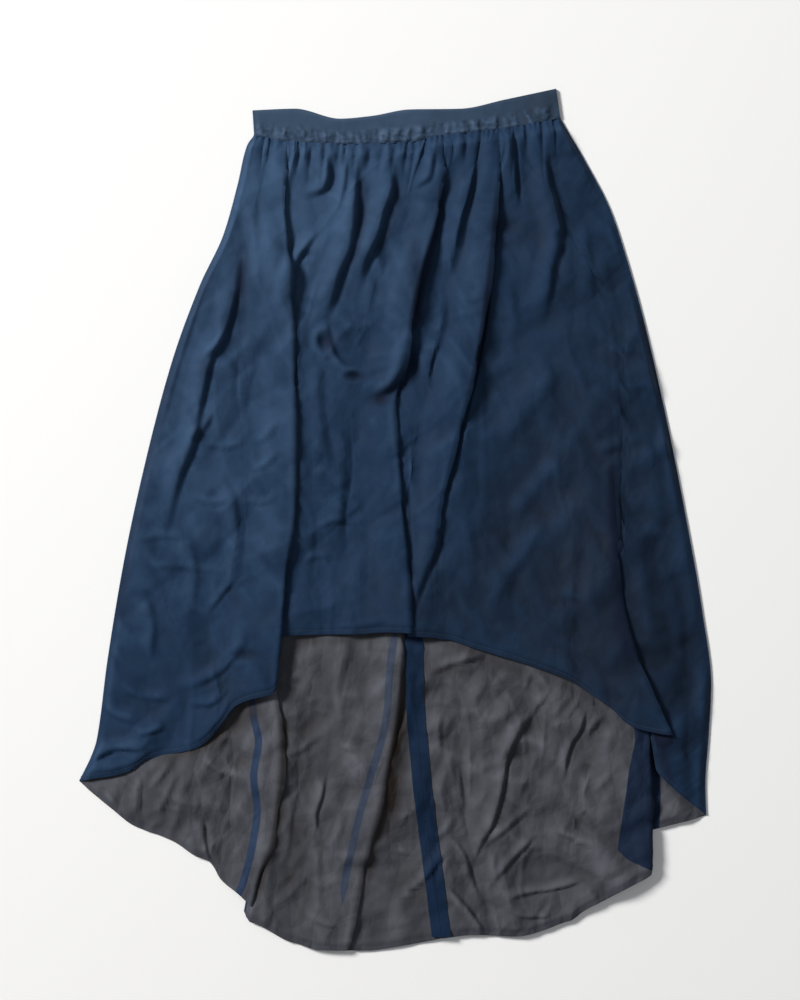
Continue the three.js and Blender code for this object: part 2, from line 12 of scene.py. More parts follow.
import bpy
import numpy as np
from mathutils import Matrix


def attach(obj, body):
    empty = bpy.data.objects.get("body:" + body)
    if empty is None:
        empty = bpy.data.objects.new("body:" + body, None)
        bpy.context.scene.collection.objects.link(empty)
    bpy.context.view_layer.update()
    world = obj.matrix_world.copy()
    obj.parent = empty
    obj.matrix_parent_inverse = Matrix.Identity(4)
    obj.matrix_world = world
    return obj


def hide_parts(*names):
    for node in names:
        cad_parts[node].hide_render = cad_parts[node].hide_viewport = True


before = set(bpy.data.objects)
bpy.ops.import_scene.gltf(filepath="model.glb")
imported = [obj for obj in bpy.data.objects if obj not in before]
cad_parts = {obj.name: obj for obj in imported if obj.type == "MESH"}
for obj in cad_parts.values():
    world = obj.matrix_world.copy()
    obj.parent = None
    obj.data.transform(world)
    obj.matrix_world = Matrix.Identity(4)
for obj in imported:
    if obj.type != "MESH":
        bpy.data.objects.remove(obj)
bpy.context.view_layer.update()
logging.basicConfig(level=logging.INFO, format="%(message)s")
log = logging.getLogger("skirt")

MM = 0.001
BODY = "root"

# The cloth, its seams and the strip beside a side seam where the cloth sinks to the ground
WALL = 0.8
BAND_WALL = 2.0
SEAM_GAP = 0.3
SEAM_LEVEL = 455.0
SIDE_BLEND = 34.0
ALLOWANCE_WIDTH = 11.0

# A tuck starts to turn under itself at the low height and is fully turned at the full height
LOW_FOLD_HEIGHT = 1.5
FULL_FOLD_HEIGHT = 5.6
SOFT_FALL = 1.4
SOFT_FALL_FROM = -8.0

# Reach in grid steps of the window in which a place stands over or under the cloth around it, for the painted
# light on crests and painted shade in hollows
RELIEF_SHADE_REACH = 3

# Edges bent by more degrees than this are shaded sharp
SHARP_ANGLE = 64

# Crumples: how far and how closely their facets bend, and how much their ridges vary
BEND = 0.5
BEND_PITCH = 1.4
LAYER_STEP = (17.3, 31.7)
RIDGE_PITCH = 1.9
RIDGE_SHIFT = 5.1
RIDGE_MEAN = 0.5
RIDGE_SPREAD = 0.9
RIDGE_LEVEL = 0.1

# Folds, in shares of their length and of their widths
FOLD_START = 0.3
FOLD_END = 0.34
RISE_FROM = 1.5
RISE_WIDTH = 1.2
FALL_FROM = 0.35
SLOT_PLACE = 0.55

# Dimples, in shares of their own size
DIMPLE_REACH = 1.1
RIM_PLACE = 1.25
RIM_WIDTH = 0.4
RIM_TURN = 0.7

# Stitches: how far from the hem they run, and how far off the cloth
HEM_STITCHES = 5.2
THREAD_LIFT = 0.1

# Painted shade lines and doubled bands fade out over these shares of their length
SHADE_LINE_END = 0.15
STRIP_START = 0.04
STRIP_END = 0.1
STRIP_TAPER = 5.0
FAR = 12.0

# Gathers: their full width, the depth where they are highest, and how their height varies
GATHER_WIDTH = 18.0
GATHER_DEPTH = 16.0
GATHER_MEAN = 0.85
GATHER_SPREAD = 0.3
GATHER_TURN = 2.3
GATHER_END = 30.0
RIGHT_SEAM_RISE = 27.0
BACK_GATHERS = 25
BACK_GATHER_LENGTH = 60.0

# Ripples at the seam: turns over x, height, how the turns drift, and how far down they reach
RIPPLE_TURN = 0.8
RIPPLE_HEIGHT = 1.5
RIPPLE_DRIFT = 2.4
RIPPLE_DRIFT_TURN = 0.11
RIPPLE_REACH = 16.0
RIPPLE_REACH_SPREAD = 8.0
RIPPLE_REACH_TURN = 0.29

# The back under the front: where its relief fades, and how much of it stays
BACK_BLEND = 14.0
SHOW_FROM = 16.0
SHOW_BLEND = 20.0
HIDDEN_SHARE = 0.12

# Heights and widths that the front needs over the back's tucks, strips and gathers
COVER_GAP = 1.3
TUCK_COVER_SHIFT = 10.0
TUCK_COVER_WIDTH = 28.0
TUCK_COVER_BLEND = 40.0
STRIP_COVER = 1.3
STRIP_COVER_WIDTH = 4.0
STRIP_COVER_BLEND = 20.0
GATHER_COVER = 1.5
GATHER_COVER_DEPTH = 60.0
GATHER_COVER_BLEND = 30.0

Array = np.ndarray
Field = Callable[[Array, Array], Array]
Path = Sequence[tuple[float, float]]
Place = tuple[Array, Array, Array]
Line = Callable[[Array], Array]


class Slot(Enum):
    """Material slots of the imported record."""

    NAVY = "navy_cloth"
    INSIDE = "cloth_inside"
    DOUBLED = "doubled_cloth"
    BAND = "waistband_cloth"


class SectionRow(NamedTuple):
    """One place in a tuck's cross-section."""

    flat: float
    reach: float
    over: float
    lift: float


class TuckRow(NamedTuple):
    """Where a tuck's valley lies at one height, and how tall and overhanging the cloth on its left is."""

    y: float
    x: float
    height: float
    overhang: float
    spread: float


class HemRow(NamedTuple):
    """A point of a hem: at a flat x, or at a place in the section of a tuck counted from the left."""

    x: float
    y: float
    tuck: int = -1


class Fold(NamedTuple):
    """A crease: a line with a soft rise on its left, a steeper fall at the line and a slot along it."""

    path: Path
    height: float
    left: float = 16.0
    right: float = 5.0
    slot: float = 0.0
    slot_width: float = 2.4


class Dimple(NamedTuple):
    """An oval hollow with a low rim on its left."""

    x: float
    y: float
    across: float
    along: float
    depth: float
    rim: float = 0.3


class Patch(NamedTuple):
    """A broad soft-edged area of painted light and shade, which lightens or darkens the cloth's colour by its
    amount.
    """

    x: float
    y: float
    across: float
    along: float
    amount: float


class Tint(NamedTuple):
    """A soft line of painted shade, along the shaded side of a fold or under an edge."""

    path: Path
    width: float
    amount: float


class Strip(NamedTuple):
    """A band where the cloth lies double, of a width and a depth of tone."""

    path: Path
    width: float
    tone: float


LEFT_SIDE = (
    (461, -167), (448, -176), (402, -187), (342, -204), (282, -232), (192, -265), (72, -297),
    (-48, -323), (-168, -343), (-264, -356), (-282, -362), (-313, -377),
)
RIGHT_SIDE = (
    (482, 200), (468, 208), (432, 229), (372, 260), (312, 280), (252, 297), (132, 325),
    (12, 349), (-108, 370), (-198, 381), (-258, 378), (-318, 374), (-354, 375),
)
WAIST_TOP = (
    (-169, 491), (-118, 493), (-64, 481), (-28, 484), (20, 492), (80, 493), (134, 504), (195, 517),
)
WAIST_SEAM = (
    (-167, 461), (-136, 454), (-58, 450), (8, 452), (64, 461), (128, 468), (164, 474), (200, 482),
)
BACK_SEAM = ((456, 16), (-84, 24), (-192, 25), (-312, 34), (-432, 49), (-520, 60))

FRONT_HEM = (
    HemRow(-377, -313), HemRow(-362, -310), HemRow(-340, -306), HemRow(-319, -298),
    HemRow(-304, -286), HemRow(-256, -274), HemRow(-214, -250), HemRow(-42, -222, 0),
    HemRow(-26, -214, 0), HemRow(-8, -206, 0), HemRow(3, -144, 0), HemRow(-76, -137),
    HemRow(-26, -134, 1), HemRow(-8, -135, 1), HemRow(3, -139, 1), HemRow(68, -143),
    HemRow(116, -157), HemRow(188, -188), HemRow(254, -224), HemRow(-26, -249, 3),
    HemRow(-8, -256, 3), HemRow(-3, -253, 3), HemRow(-1, -251, 3), HemRow(3, -266, 3),
    HemRow(326, -306), HemRow(353, -334), HemRow(375, -354),
)
BACK_LEFT_HEM = (
    HemRow(-377, -313), HemRow(-340, -348), HemRow(-322, -366), HemRow(-286, -383),
    HemRow(-250, -404), HemRow(-42, -430, 0), HemRow(-26, -442, 0), HemRow(-8, -460, 0),
    HemRow(3, -472, 0), HemRow(-160, -484), HemRow(-124, -506), HemRow(-26, -515, 1),
    HemRow(-8, -515, 1), HemRow(3, -516, 1), HemRow(-16, -516), HemRow(20, -510),
    HemRow(60, -501),
)
BACK_RIGHT_HEM = (
    HemRow(60, -501), HemRow(92, -497), HemRow(128, -499), HemRow(196, -481),
    HemRow(-42, -467, 0), HemRow(-26, -456, 0), HemRow(-14, -438, 0), HemRow(-8, -426, 0),
    HemRow(-5, -422, 0), HemRow(-3, -416, 0), HemRow(-1, -396, 0), HemRow(3, -388, 0),
    HemRow(312, -373), HemRow(344, -364), HemRow(375, -354),
)

TUCK_SECTION = (
    SectionRow(-60, -60, 0, 0), SectionRow(-42, -42, 0, 0.3), SectionRow(-26, -24, 0.1, 0.76),
    SectionRow(-14, -10, 0.6, 0.96), SectionRow(-8, -2, 1, 1), SectionRow(-5, 0, 1, 0.82),
    SectionRow(-3, -2, 0.9, 0.66), SectionRow(-1, 0, 0.08, 0.56), SectionRow(1, -2, 0, 0.29),
    SectionRow(3, 0, 0, 0), SectionRow(9, 9, 0, 0),
)

FRONT_TUCKS = (
    (
        TuckRow(450, -128, 0, 0, 0.3), TuckRow(430, -130, 3, 0, 0.35), TuckRow(384, -133, 6, 1, 0.5),
        TuckRow(324, -130, 8, 3, 0.8), TuckRow(228, -124, 9, 3, 1), TuckRow(24, -121, 9, 3, 1),
        TuckRow(-48, -131, 9, 4, 1), TuckRow(-132, -139, 8, 4, 1), TuckRow(-210, -146, 7, 4, 1),
    ),
    (
        TuckRow(460, 59, 0, 0, 0.3), TuckRow(378, 52, 8, 2, 0.6), TuckRow(300, 29, 14, 5, 0.7),
        TuckRow(240, 16, 14, 5, 0.8), TuckRow(180, 9, 10, 3, 0.8), TuckRow(132, -1, 6, 1, 0.8),
        TuckRow(60, 5, 6, 1, 0.8), TuckRow(-84, 15, 7, 2, 0.9), TuckRow(-140, 17, 6, 2, 0.9),
    ),
    (
        TuckRow(466, 128, 0, 0, 0.3), TuckRow(396, 121, 6, 1, 0.5), TuckRow(324, 113, 11, 4, 0.7),
        TuckRow(204, 96, 13, 5, 0.8), TuckRow(84, 67, 11, 4, 0.7), TuckRow(0, 50, 6, 1, 0.5),
        TuckRow(-60, 45, 1, 0, 0.35), TuckRow(-160, 49, 0, 0, 0.3),
    ),
    (
        TuckRow(474, 177, 0, 0, 0.3), TuckRow(384, 188, 1, 0, 0.5), TuckRow(216, 255, 2, 0, 0.7),
        TuckRow(60, 261, 2.6, 0, 0.8), TuckRow(-66, 265, 4.6, 1, 0.8), TuckRow(-132, 274, 6.4, 4, 0.8),
        TuckRow(-190, 290, 8, 10, 0.7), TuckRow(-256, 308, 9, 22, 0.6),
    ),
)
BACK_TUCKS = (
    (
        TuckRow(456, -120, 0, 0, 0.3), TuckRow(0, -124, 0, 0, 0.8), TuckRow(-132, -139, 4, 1, 0.9),
        TuckRow(-206, -146, 6, 4, 1), TuckRow(-264, -140, 7, 5, 1), TuckRow(-372, -151, 7, 6, 1),
        TuckRow(-432, -170, 7, 6, 0.9), TuckRow(-480, -180, 6, 4, 0.8),
    ),
    (
        TuckRow(456, -8, 0, 0, 0.3), TuckRow(0, 2, 0, 0, 0.5), TuckRow(-84, 7, 2, 0, 0.55),
        TuckRow(-144, 7, 6, 2, 0.6), TuckRow(-228, 0, 6, 3, 0.8), TuckRow(-324, -20, 7, 5, 1),
        TuckRow(-420, -43, 6, 4, 1), TuckRow(-516, -58, 5.6, 2, 1),
    ),
    (
        TuckRow(470, 172, 0, 0, 0.3), TuckRow(60, 258, 0, 0, 0.7), TuckRow(-90, 278, 5.6, 2, 0.8),
        TuckRow(-190, 290, 7.5, 12, 0.8), TuckRow(-246, 284, 8, 22, 0.8),
        TuckRow(-330, 275, 8.6, 32, 0.9), TuckRow(-400, 268, 8.6, 39, 0.9),
    ),
)

# Gathers of the front: where each valley leaves the seam and how far down it runs
FRONT_GATHERS = (
    (-155, 50), (-148, 30), (-128, 90), (-110, 45), (-95, 60), (-79, 80), (-64, 40), (-57, 35),
    (-46, 90), (-31, 40), (-18, 60), (-4, 45), (11, 50), (21, 80), (38, 50), (59, 90), (70, 40),
    (86, 45), (104, 90), (126, 80), (143, 80), (160, 45), (177, 90), (190, 50),
)

FRONT_FOLDS = (
    Fold(((-86, 352), (-110, 318), (-124, 290), (-127, 254)), 5, 12, 7, 0.6),
    Fold(((-118, 306), (-121, 264)), 2, 5, 3, 0.8),
    Fold(((-82, 443), (-77, 413), (-86, 394), (-110, 388)), 5, 12, 8, 1, 4),
    Fold(((-56, 438), (-58, 403), (-70, 364)), 4, 12, 6, 1.2),
    Fold(
        ((-46, 452), (-45, 372), (-50, 330), (-64, 294), (-73, 264), (-82, 246), (-100, 236)),
        8.6, 19, 11, 1.6, 4,
    ),
    Fold(((-88, 198), (-88, 144), (-79, 84), (-70, 36)), 3.4, 18, 12),
    Fold(
        ((-4, 440), (-1, 396), (-7, 378), (-13, 354), (-22, 330), (-34, 306), (-43, 268)),
        8.2, 19, 11, 1.6, 4,
    ),
    Fold(((50, 443), (45, 408), (22, 394)), 3, 14, 5, 1.5),
    Fold(((20, 226), (12, 186), (-4, 158), (-36, 146)), 6.5, 16, 9, 3, 6),
    Fold(((-82, 240), (-70, 200), (-52, 182), (-30, 180)), 3, 8, 6, 1.2, 4),
    Fold(((-122, 350), (-117, 228), (-113, 24), (-122, -48), (-131, -136)), 5, 4, 26),
    Fold(((22, 110), (24, 40), (28, -40), (32, -120)), 3, 4, 22),
    Fold(((126, 360), (114, 230), (84, 90), (64, 10)), 5, 4, 30),
    Fold(((104, 442), (92, 396), (86, 366), (77, 318), (65, 282)), 8.2, 17, 11, 1.6, 4),
    Fold(((65, 282), (62, 240), (56, 210), (44, 186), (44, 144)), 4, 14, 7, 0.6),
    Fold(((57, 12), (52, -20), (42, -52), (30, -86), (18, -118)), 4.5, 16, 9, 0.8),
    Fold(((142, 468), (146, 408), (150, 370)), 4, 14, 7, 1.6),
    Fold(
        ((177, 468), (185, 408), (195, 372), (200, 338), (191, 300), (182, 252), (170, 226)),
        6.4, 18, 10, 1.2, 4,
    ),
    Fold(((230, 362), (236, 300), (240, 262)), 3, 14, 10),
    Fold(((204, 186), (164, 128), (124, 74)), 4, 24, 16),
    Fold(((204, 76), (164, 24), (140, -6)), 3, 18, 12),
    Fold(((190, 4), (164, -36), (142, -66), (112, -124)), 4, 18, 10),
    Fold(((292, 203), (272, 200), (252, 204)), 2, 7, 5),
    Fold(((316, 98), (270, 88), (234, 76)), 2.4, 12, 8),
    Fold(
        ((-184, 340), (-188, 276), (-199, 228), (-218, 190), (-229, 144), (-238, 96), (-256, 48),
         (-280, -48)),
        6, 17, 9, 1,
    ),
    Fold(((-196, 232), (-210, 206), (-232, 192)), 3, 8, 5, 0.8),
    Fold(((-212, 330), (-236, 252), (-262, 170), (-282, 100)), 2.4, 12, 8),
    Fold(((-160, 400), (-164, 350), (-158, 300), (-164, 250)), 2.4, 14, 8),
    Fold(((-150, 240), (-168, 190), (-176, 130)), 1.8, 12, 9),
    Fold(((-210, 60), (-190, 20), (-184, -40), (-192, -90)), 3.3, 16, 10),
    Fold(((-250, -10), (-236, -60), (-240, -120)), 2.7, 14, 9),
    Fold(((-300, -80), (-286, -130), (-292, -176)), 3, 14, 8),
    Fold(((-166, -120), (-190, -168), (-232, -196), (-270, -206)), 3, 12, 7, 0.6),
    Fold(((-262, -216), (-300, -214), (-330, -196)), 2.7, 9, 5, 0.6),
    Fold(((-290, -276), (-326, -274), (-350, -282), (-372, -300)), 3.9, 12, 5, 1.5),
    Fold(((-270, -244), (-286, -254), (-310, -258)), 2.4, 8, 4, 0.8),
    Fold(((-196, -206), (-222, -222), (-250, -222)), 2.4, 9, 5, 0.6),
    Fold(((-300, -244), (-330, -236), (-352, -216)), 2.7, 10, 5, 0.8),
    Fold(((-176, 92), (-200, 86), (-232, 90)), 1.6, 8, 5, 0.5),
    Fold(((-190, 26), (-216, 20), (-244, 28)), 1.8, 8, 5, 0.6),
    Fold(((-244, -22), (-276, -20), (-312, -26)), 1.6, 8, 5, 0.5),
    Fold(((-200, -64), (-250, -58), (-304, -54)), 1.4, 8, 5, 0.4),
    Fold(((-134, 120), (-148, 100), (-168, 88)), 2, 8, 5, 0.8),
    Fold(((-134, 84), (-150, 66), (-170, 58)), 2, 8, 5, 0.8),
    Fold(((-136, 30), (-156, 20), (-176, 24)), 1.6, 8, 5, 0.6),
    Fold(((-214, 130), (-226, 110), (-246, 92)), 3, 9, 6, 1.4, 4),
    Fold(((-184, -64), (-206, -92), (-226, -116)), 1.8, 9, 5, 0.6),
    Fold(((-60, -50), (-84, -44), (-112, -52)), 1.4, 8, 5, 0.4),
    Fold(((-40, -8), (-66, -2), (-96, -10)), 1.4, 8, 5, 0.4),
    Fold(((320, 150), (296, 158), (268, 150)), 1.6, 9, 6, 0.5),
    Fold(((352, -30), (324, -18), (292, -26)), 1.6, 9, 6, 0.5),
    Fold(((240, -100), (206, -92), (180, -104)), 1.4, 9, 6, 0.4),
    Fold(((-60, 130), (-56, 60), (-64, 0), (-60, -60)), 2, 18, 12, 0.4),
    Fold(((-100, 40), (-96, -20), (-104, -80)), 1.6, 12, 9),
    Fold(((-40, 20), (-34, -40), (-40, -110)), 1.8, 14, 10),
    Fold(((-20, 300), (-26, 250), (-16, 206)), 1.6, 12, 8),
    Fold(((140, 300), (146, 240), (140, 180)), 2, 18, 12),
    Fold(((180, 210), (190, 150), (186, 100)), 1.6, 18, 12),
    Fold(((90, 20), (96, -50), (90, -110)), 2, 18, 10),
    Fold(((215, 40), (222, -30), (216, -110), (226, -160)), 2, 16, 10),
    Fold(((238, -20), (240, -90), (252, -150)), 1.6, 12, 7),
    Fold(((300, 120), (318, 40), (324, -40)), 2.2, 18, 12),
    Fold(((330, -60), (346, -140), (344, -200)), 2, 16, 10),
    Fold(((296, -20), (304, -100), (318, -170)), 2, 14, 9),
    Fold(((348, -220), (344, -262), (352, -306)), 2, 14, 7),
    Fold(((246, 330), (262, 270), (270, 220)), 1.6, 14, 9),
)
FRONT_DIMPLES = (
    Dimple(-80, 214, 11, 14, 6, 2), Dimple(-46, 172, 13, 7, 3, 1), Dimple(200, 338, 7, 9, 2, 0.8),
    Dimple(-103, 317, 10, 7, 2, 0.6), Dimple(136, 350, 20, 17, 3.2, 0.6), Dimple(-178, -162, 18, 9, 3, 1),
    Dimple(-214, 30, 9, 7, 1, 0.4), Dimple(-150, 30, 7, 9, 0.9, 0.4), Dimple(30, 60, 8, 7, 0.8, 0.3),
    Dimple(238, 160, 9, 7, 0.8, 0.3), Dimple(-230, -150, 9, 6, 1, 0.4), Dimple(160, 90, 10, 8, 0.9, 0.3),
)

BACK_FOLDS = (
    Fold(((-127, -250), (-132, -292), (-135, -330), (-139, -366), (-148, -402), (-160, -462)), 4.5, 5, 22),
    Fold(((24, -170), (20, -222), (10, -258), (-8, -318), (-18, -354), (-31, -410), (-38, -462)), 4, 5, 20),
    Fold(((68, -390), (42, -424), (14, -453), (6, -466)), 3, 8, 5, 1.2, 2),
    Fold(((63, -438), (87, -462), (111, -496)), 3.2, 8, 4, 1.6),
    Fold(((123, -157), (104, -164), (68, -174), (38, -188)), 2.7, 9, 5, 1.6),
    Fold(
        ((200, -180), (188, -202), (168, -232), (148, -258), (136, -290), (130, -324),
         (120, -360), (104, -390), (92, -420), (86, -440)),
        4.6, 13, 4, 2, 2,
    ),
    Fold(((171, -340), (142, -364), (116, -385), (99, -402)), 2.2, 7, 4, 0.8),
    Fold(((176, -371), (149, -400), (130, -421), (116, -440)), 2.7, 9, 4, 1.4),
    Fold(((262, -396), (233, -388), (207, -378), (185, -368)), 2.2, 7, 4, 1.1),
    Fold(((238, -428), (217, -436), (190, -443), (157, -448), (128, -457)), 2.4, 8, 4, 1.4),
    Fold(((190, -474), (164, -476), (142, -472)), 1.6, 6, 4, 0.8),
    Fold(((231, -224), (224, -251), (212, -272), (206, -294), (205, -313)), 3, 9, 4, 1.6),
    Fold(((255, -232), (243, -246), (233, -260)), 2, 7, 4, 0.8),
    Fold(((166, -181), (161, -198), (154, -208)), 1.8, 7, 4, 0.8),
    Fold(((200, -239), (197, -253)), 1.4, 5, 3, 0.9),
    Fold(((248, -299), (231, -289)), 1.6, 5, 4, 0.8),
    Fold(((236, -304), (233, -328)), 1.6, 5, 4, 0.8),
    Fold(((260, -296), (257, -306), (243, -328)), 1.8, 5, 4, 0.8),
    Fold(((77, -292), (82, -320), (85, -354)), 1.8, 8, 4, 0.9),
    Fold(((65, -373), (87, -404), (94, -426), (104, -457)), 2.4, 8, 4, 0.9),
    Fold(((221, -342), (238, -366), (250, -388)), 1.9, 7, 4, 0.8),
    Fold(((62, -226), (56, -250), (58, -284)), 1.4, 7, 4, 0.7),
    Fold(((-50, -160), (-61, -179), (-65, -200), (-68, -227)), 2.4, 9, 4, 1),
    Fold(((-81, -299), (-85, -330), (-92, -354), (-91, -378)), 2.4, 9, 4, 1),
    Fold(((-91, -378), (-87, -414), (-87, -445), (-86, -479)), 1.9, 8, 4, 0.8),
    Fold(((-52, -337), (-59, -354), (-65, -390), (-71, -416)), 2.2, 7, 4, 1),
    Fold(((-40, -322), (-52, -318), (-64, -323)), 1.4, 5, 3, 0.8),
    Fold(((-81, -253), (-95, -265), (-117, -280), (-136, -282)), 1.8, 6, 4, 0.8),
    Fold(((-31, -276), (-52, -275), (-67, -272)), 1.6, 6, 3, 0.9),
    Fold(((-67, -431), (-86, -445)), 1.4, 5, 3, 0.9),
    Fold(((20, -349), (10, -364), (8, -378)), 1.6, 6, 4, 0.8),
    Fold(((32, -404), (14, -399), (-4, -395)), 1.6, 6, 3, 0.9),
    Fold(((34, -431), (15, -452), (13, -474), (-4, -498)), 2.2, 7, 4, 1.4),
    Fold(((37, -464), (32, -486)), 1.4, 5, 4, 0.8),
    Fold(((-302, -305), (-304, -331), (-308, -360)), 2.7, 9, 4, 1.1),
    Fold(((-262, -290), (-277, -307), (-291, -326)), 2.2, 7, 4, 0.8),
    Fold(((-255, -300), (-267, -324), (-277, -346), (-286, -362)), 2.2, 7, 4, 0.8),
    Fold(((-176, -307), (-202, -305), (-219, -295), (-233, -281)), 1.8, 6, 4, 0.8),
    Fold(((-230, -352), (-226, -382), (-220, -412)), 2.7, 8, 4, 1.1),
    Fold(((-344, -322), (-336, -332), (-329, -341)), 1.4, 6, 4, 0.7),
    Fold(((-120, -330), (-124, -380), (-132, -420)), 1.4, 10, 6, 0.3),
    Fold(((-60, -488), (-80, -484), (-110, -470)), 1.4, 7, 5, 0.4),
)
BACK_DIMPLES = (
    Dimple(-115, -193, 8, 6, 1.4, 0.8), Dimple(-98, -210, 7, 5, 0.9, 0.6), Dimple(-56, -214, 8, 5, 0.9, 0.6),
    Dimple(90, -240, 9, 7, 0.8, 0.4), Dimple(110, -300, 8, 7, 0.7, 0.4), Dimple(184, -304, 9, 8, 0.8, 0.4),
    Dimple(-120, -240, 8, 7, 0.6, 0.3), Dimple(-200, -350, 9, 7, 0.6, 0.3),
)
BACK_STRIPS = (
    Strip(
        ((-170, -208), (-167, -236), (-161, -265), (-165, -290), (-167, -306), (-163, -348), (-167, -380),
         (-179, -431), (-187, -452), (-191, -468)), 9, 0.95,
    ),
    Strip(
        ((3, -130), (-2, -160), (-5, -190), (-7, -222), (-13, -258), (-23, -292), (-32, -322), (-41, -354),
         (-49, -390), (-57, -426), (-63, -470)), 9, 0.6,
    ),
)
BACK_DOUBLED = (
    (286, -220), (289, -264), (281, -300), (275, -342), (270, -378), (268, -395), (280, -406), (296, -413),
    (316, -422), (320, -330), (318, -220),
)

# Painted light and shade of the front: above zero the cloth's colour is painted lighter, below zero darker
FRONT_LIGHT_AND_SHADE = (
    Patch(-110, 380, 120, 120, 0.7), Patch(-220, 130, 110, 200, 0.4), Patch(-330, -180, 90, 120, 0.1),
    Patch(250, 100, 120, 260, -0.6), Patch(300, -180, 110, 140, -0.7),
    Patch(120, -60, 120, 140, -0.4), Patch(170, 380, 60, 70, -0.2), Patch(-200, -190, 150, 90, -0.3),
    Patch(30, -110, 90, 70, -0.25), Patch(240, -120, 90, 120, -0.15),
)
# Painted shade on the front: darker patches in hollows and fold valleys and under the turned corner of the
# hem
FRONT_SHADE_PATCHES = (
    Patch(136, 350, 22, 16, 0.4), Patch(26, 290, 8, 60, 0.5), Patch(-180, 290, 9, 50, 0.5),
    Patch(-224, 180, 10, 14, 0.5), Patch(112, 260, 7, 60, 0.3), Patch(-77, 212, 8, 11, 0.9),
    Patch(-45, 171, 10, 5, 0.7), Patch(-18, 142, 10, 6, 0.6), Patch(317, -262, 17, 7, 1.1),
    Patch(-178, -162, 14, 6, 0.6),
)
# Painted shade along the shaded side of the front's folds and under the turned corner of the hem
FRONT_SHADE_LINES = (
    Tint(((60, 420), (56, 370), (44, 318), (30, 262), (24, 220)), 6, 0.75),
    Tint(((128, 410), (122, 360), (119, 320), (112, 260), (106, 210), (92, 140)), 6, 0.65),
    Tint(((-38, 420), (-37, 372), (-43, 328), (-56, 290)), 6, 0.55),
    Tint(((4, 416), (6, 392), (0, 366), (-9, 338), (-21, 314)), 5, 0.5),
    Tint(((-182, 316), (-184, 284), (-190, 248), (-205, 216)), 6, 0.4),
    Tint(((-222, 130), (-228, 108), (-240, 92)), 8, 0.3),
    Tint(((-200, 336), (-226, 282), (-259, 192), (-291, 72), (-317, -48), (-337, -168)), 6, 0.45),
    Tint(((30, 196), (18, 174), (0, 156), (-28, 142)), 9, 0.6),
    Tint(((-124, 330), (-118, 240), (-114, 120), (-116, 20), (-126, -60), (-134, -140)), 4, 0.4),
    Tint(((16, 40), (20, -20), (24, -80), (26, -136)), 5, 0.35),
    Tint(((262, 90), (262, 20), (263, -40), (267, -96), (278, -150), (293, -196)), 7, 1),
    Tint(((306, -261), (320, -262), (335, -260)), 5, 1.2),
    Tint(((326, -258), (322, -276), (326, -300), (334, -322)), 7, 0.7),
)
# Painted shade beside the back's tucks and under the front hem
BACK_SHADE_LINES = (
    Tint(
        ((-138, -216), (-131, -256), (-133, -300), (-138, -346), (-142, -386), (-156, -426), (-168, -470)),
        6, 0.75,
    ),
    Tint(
        ((18, -150), (14, -196), (10, -230), (-2, -286), (-8, -330), (-18, -372), (-29, -414), (-38, -462)),
        6.5, 0.75,
    ),
    Tint(((8, -300), (0, -350), (-8, -390)), 8, 0.4),
    Tint(((-300, -296), (-256, -284), (-216, -262), (-180, -238), (-150, -226)), 9, 0.45),
    Tint(((30, -148), (70, -152), (120, -168), (180, -196), (240, -230), (290, -270)), 8, 0.4),
    Tint(((-130, -142), (-90, -146), (-50, -144), (-10, -146)), 5, 0.35),
)
# Painted shade on the back: darker, browner patches under the front hem and beside the tucks
BACK_SHADE_PATCHES = (
    Patch(-248, -272, 22, 8, 0.5), Patch(-220, -258, 20, 10, 0.5), Patch(-176, -224, 18, 10, 0.6),
    Patch(8, -270, 10, 40, 0.6), Patch(-2, -330, 8, 30, 0.5), Patch(70, -180, 40, 8, 0.45),
    Patch(-110, -250, 16, 120, 0.25), Patch(-120, -400, 14, 70, 0.3),
)
# Painted light and shade of the waistband: lighter in the middle and on the left, darker at the right end and
# in a spot on the top edge
BAND_LIGHT_AND_SHADE = (
    Patch(0, 470, 110, 30, 0.1), Patch(-170, 470, 60, 40, 0.1), Patch(190, 500, 60, 40, -0.6),
    Patch(46, 496, 26, 6, -0.5),
)


def clamp01(value: Array | float) -> Array | float:
    """Hold a value between 0 and 1."""
    return np.clip(value, 0.0, 1.0)


def smooth(value: Array | float) -> Array | float:
    """Ease a value from 0 to 1 with level ends."""
    held = clamp01(value)
    return held * held * (3 - 2 * held)


def mix(start: Array | float, end: Array | float, share: Array | float) -> Array | float:
    """Blend from start to end by a share."""
    return start + (end - start) * share


def harmonic(one: Array, other: Array) -> Array:
    """The harmonic mean of two slopes, or level where they turn."""
    turning = one * other <= 0
    return np.where(turning, 0.0, 2 * one * other / np.where(turning, 1.0, one + other))


def cubic(t: Array | float, values: tuple[Array, Array], slopes: tuple[Array, Array]) -> Array:
    """Blend by a share between two values with a slope, over the whole way, at each."""
    level = (1 + 2 * t) * (1 - t) ** 2 * values[0] + t * t * (3 - 2 * t) * values[1]
    return level + t * (1 - t) ** 2 * slopes[0] - t * t * (1 - t) * slopes[1]


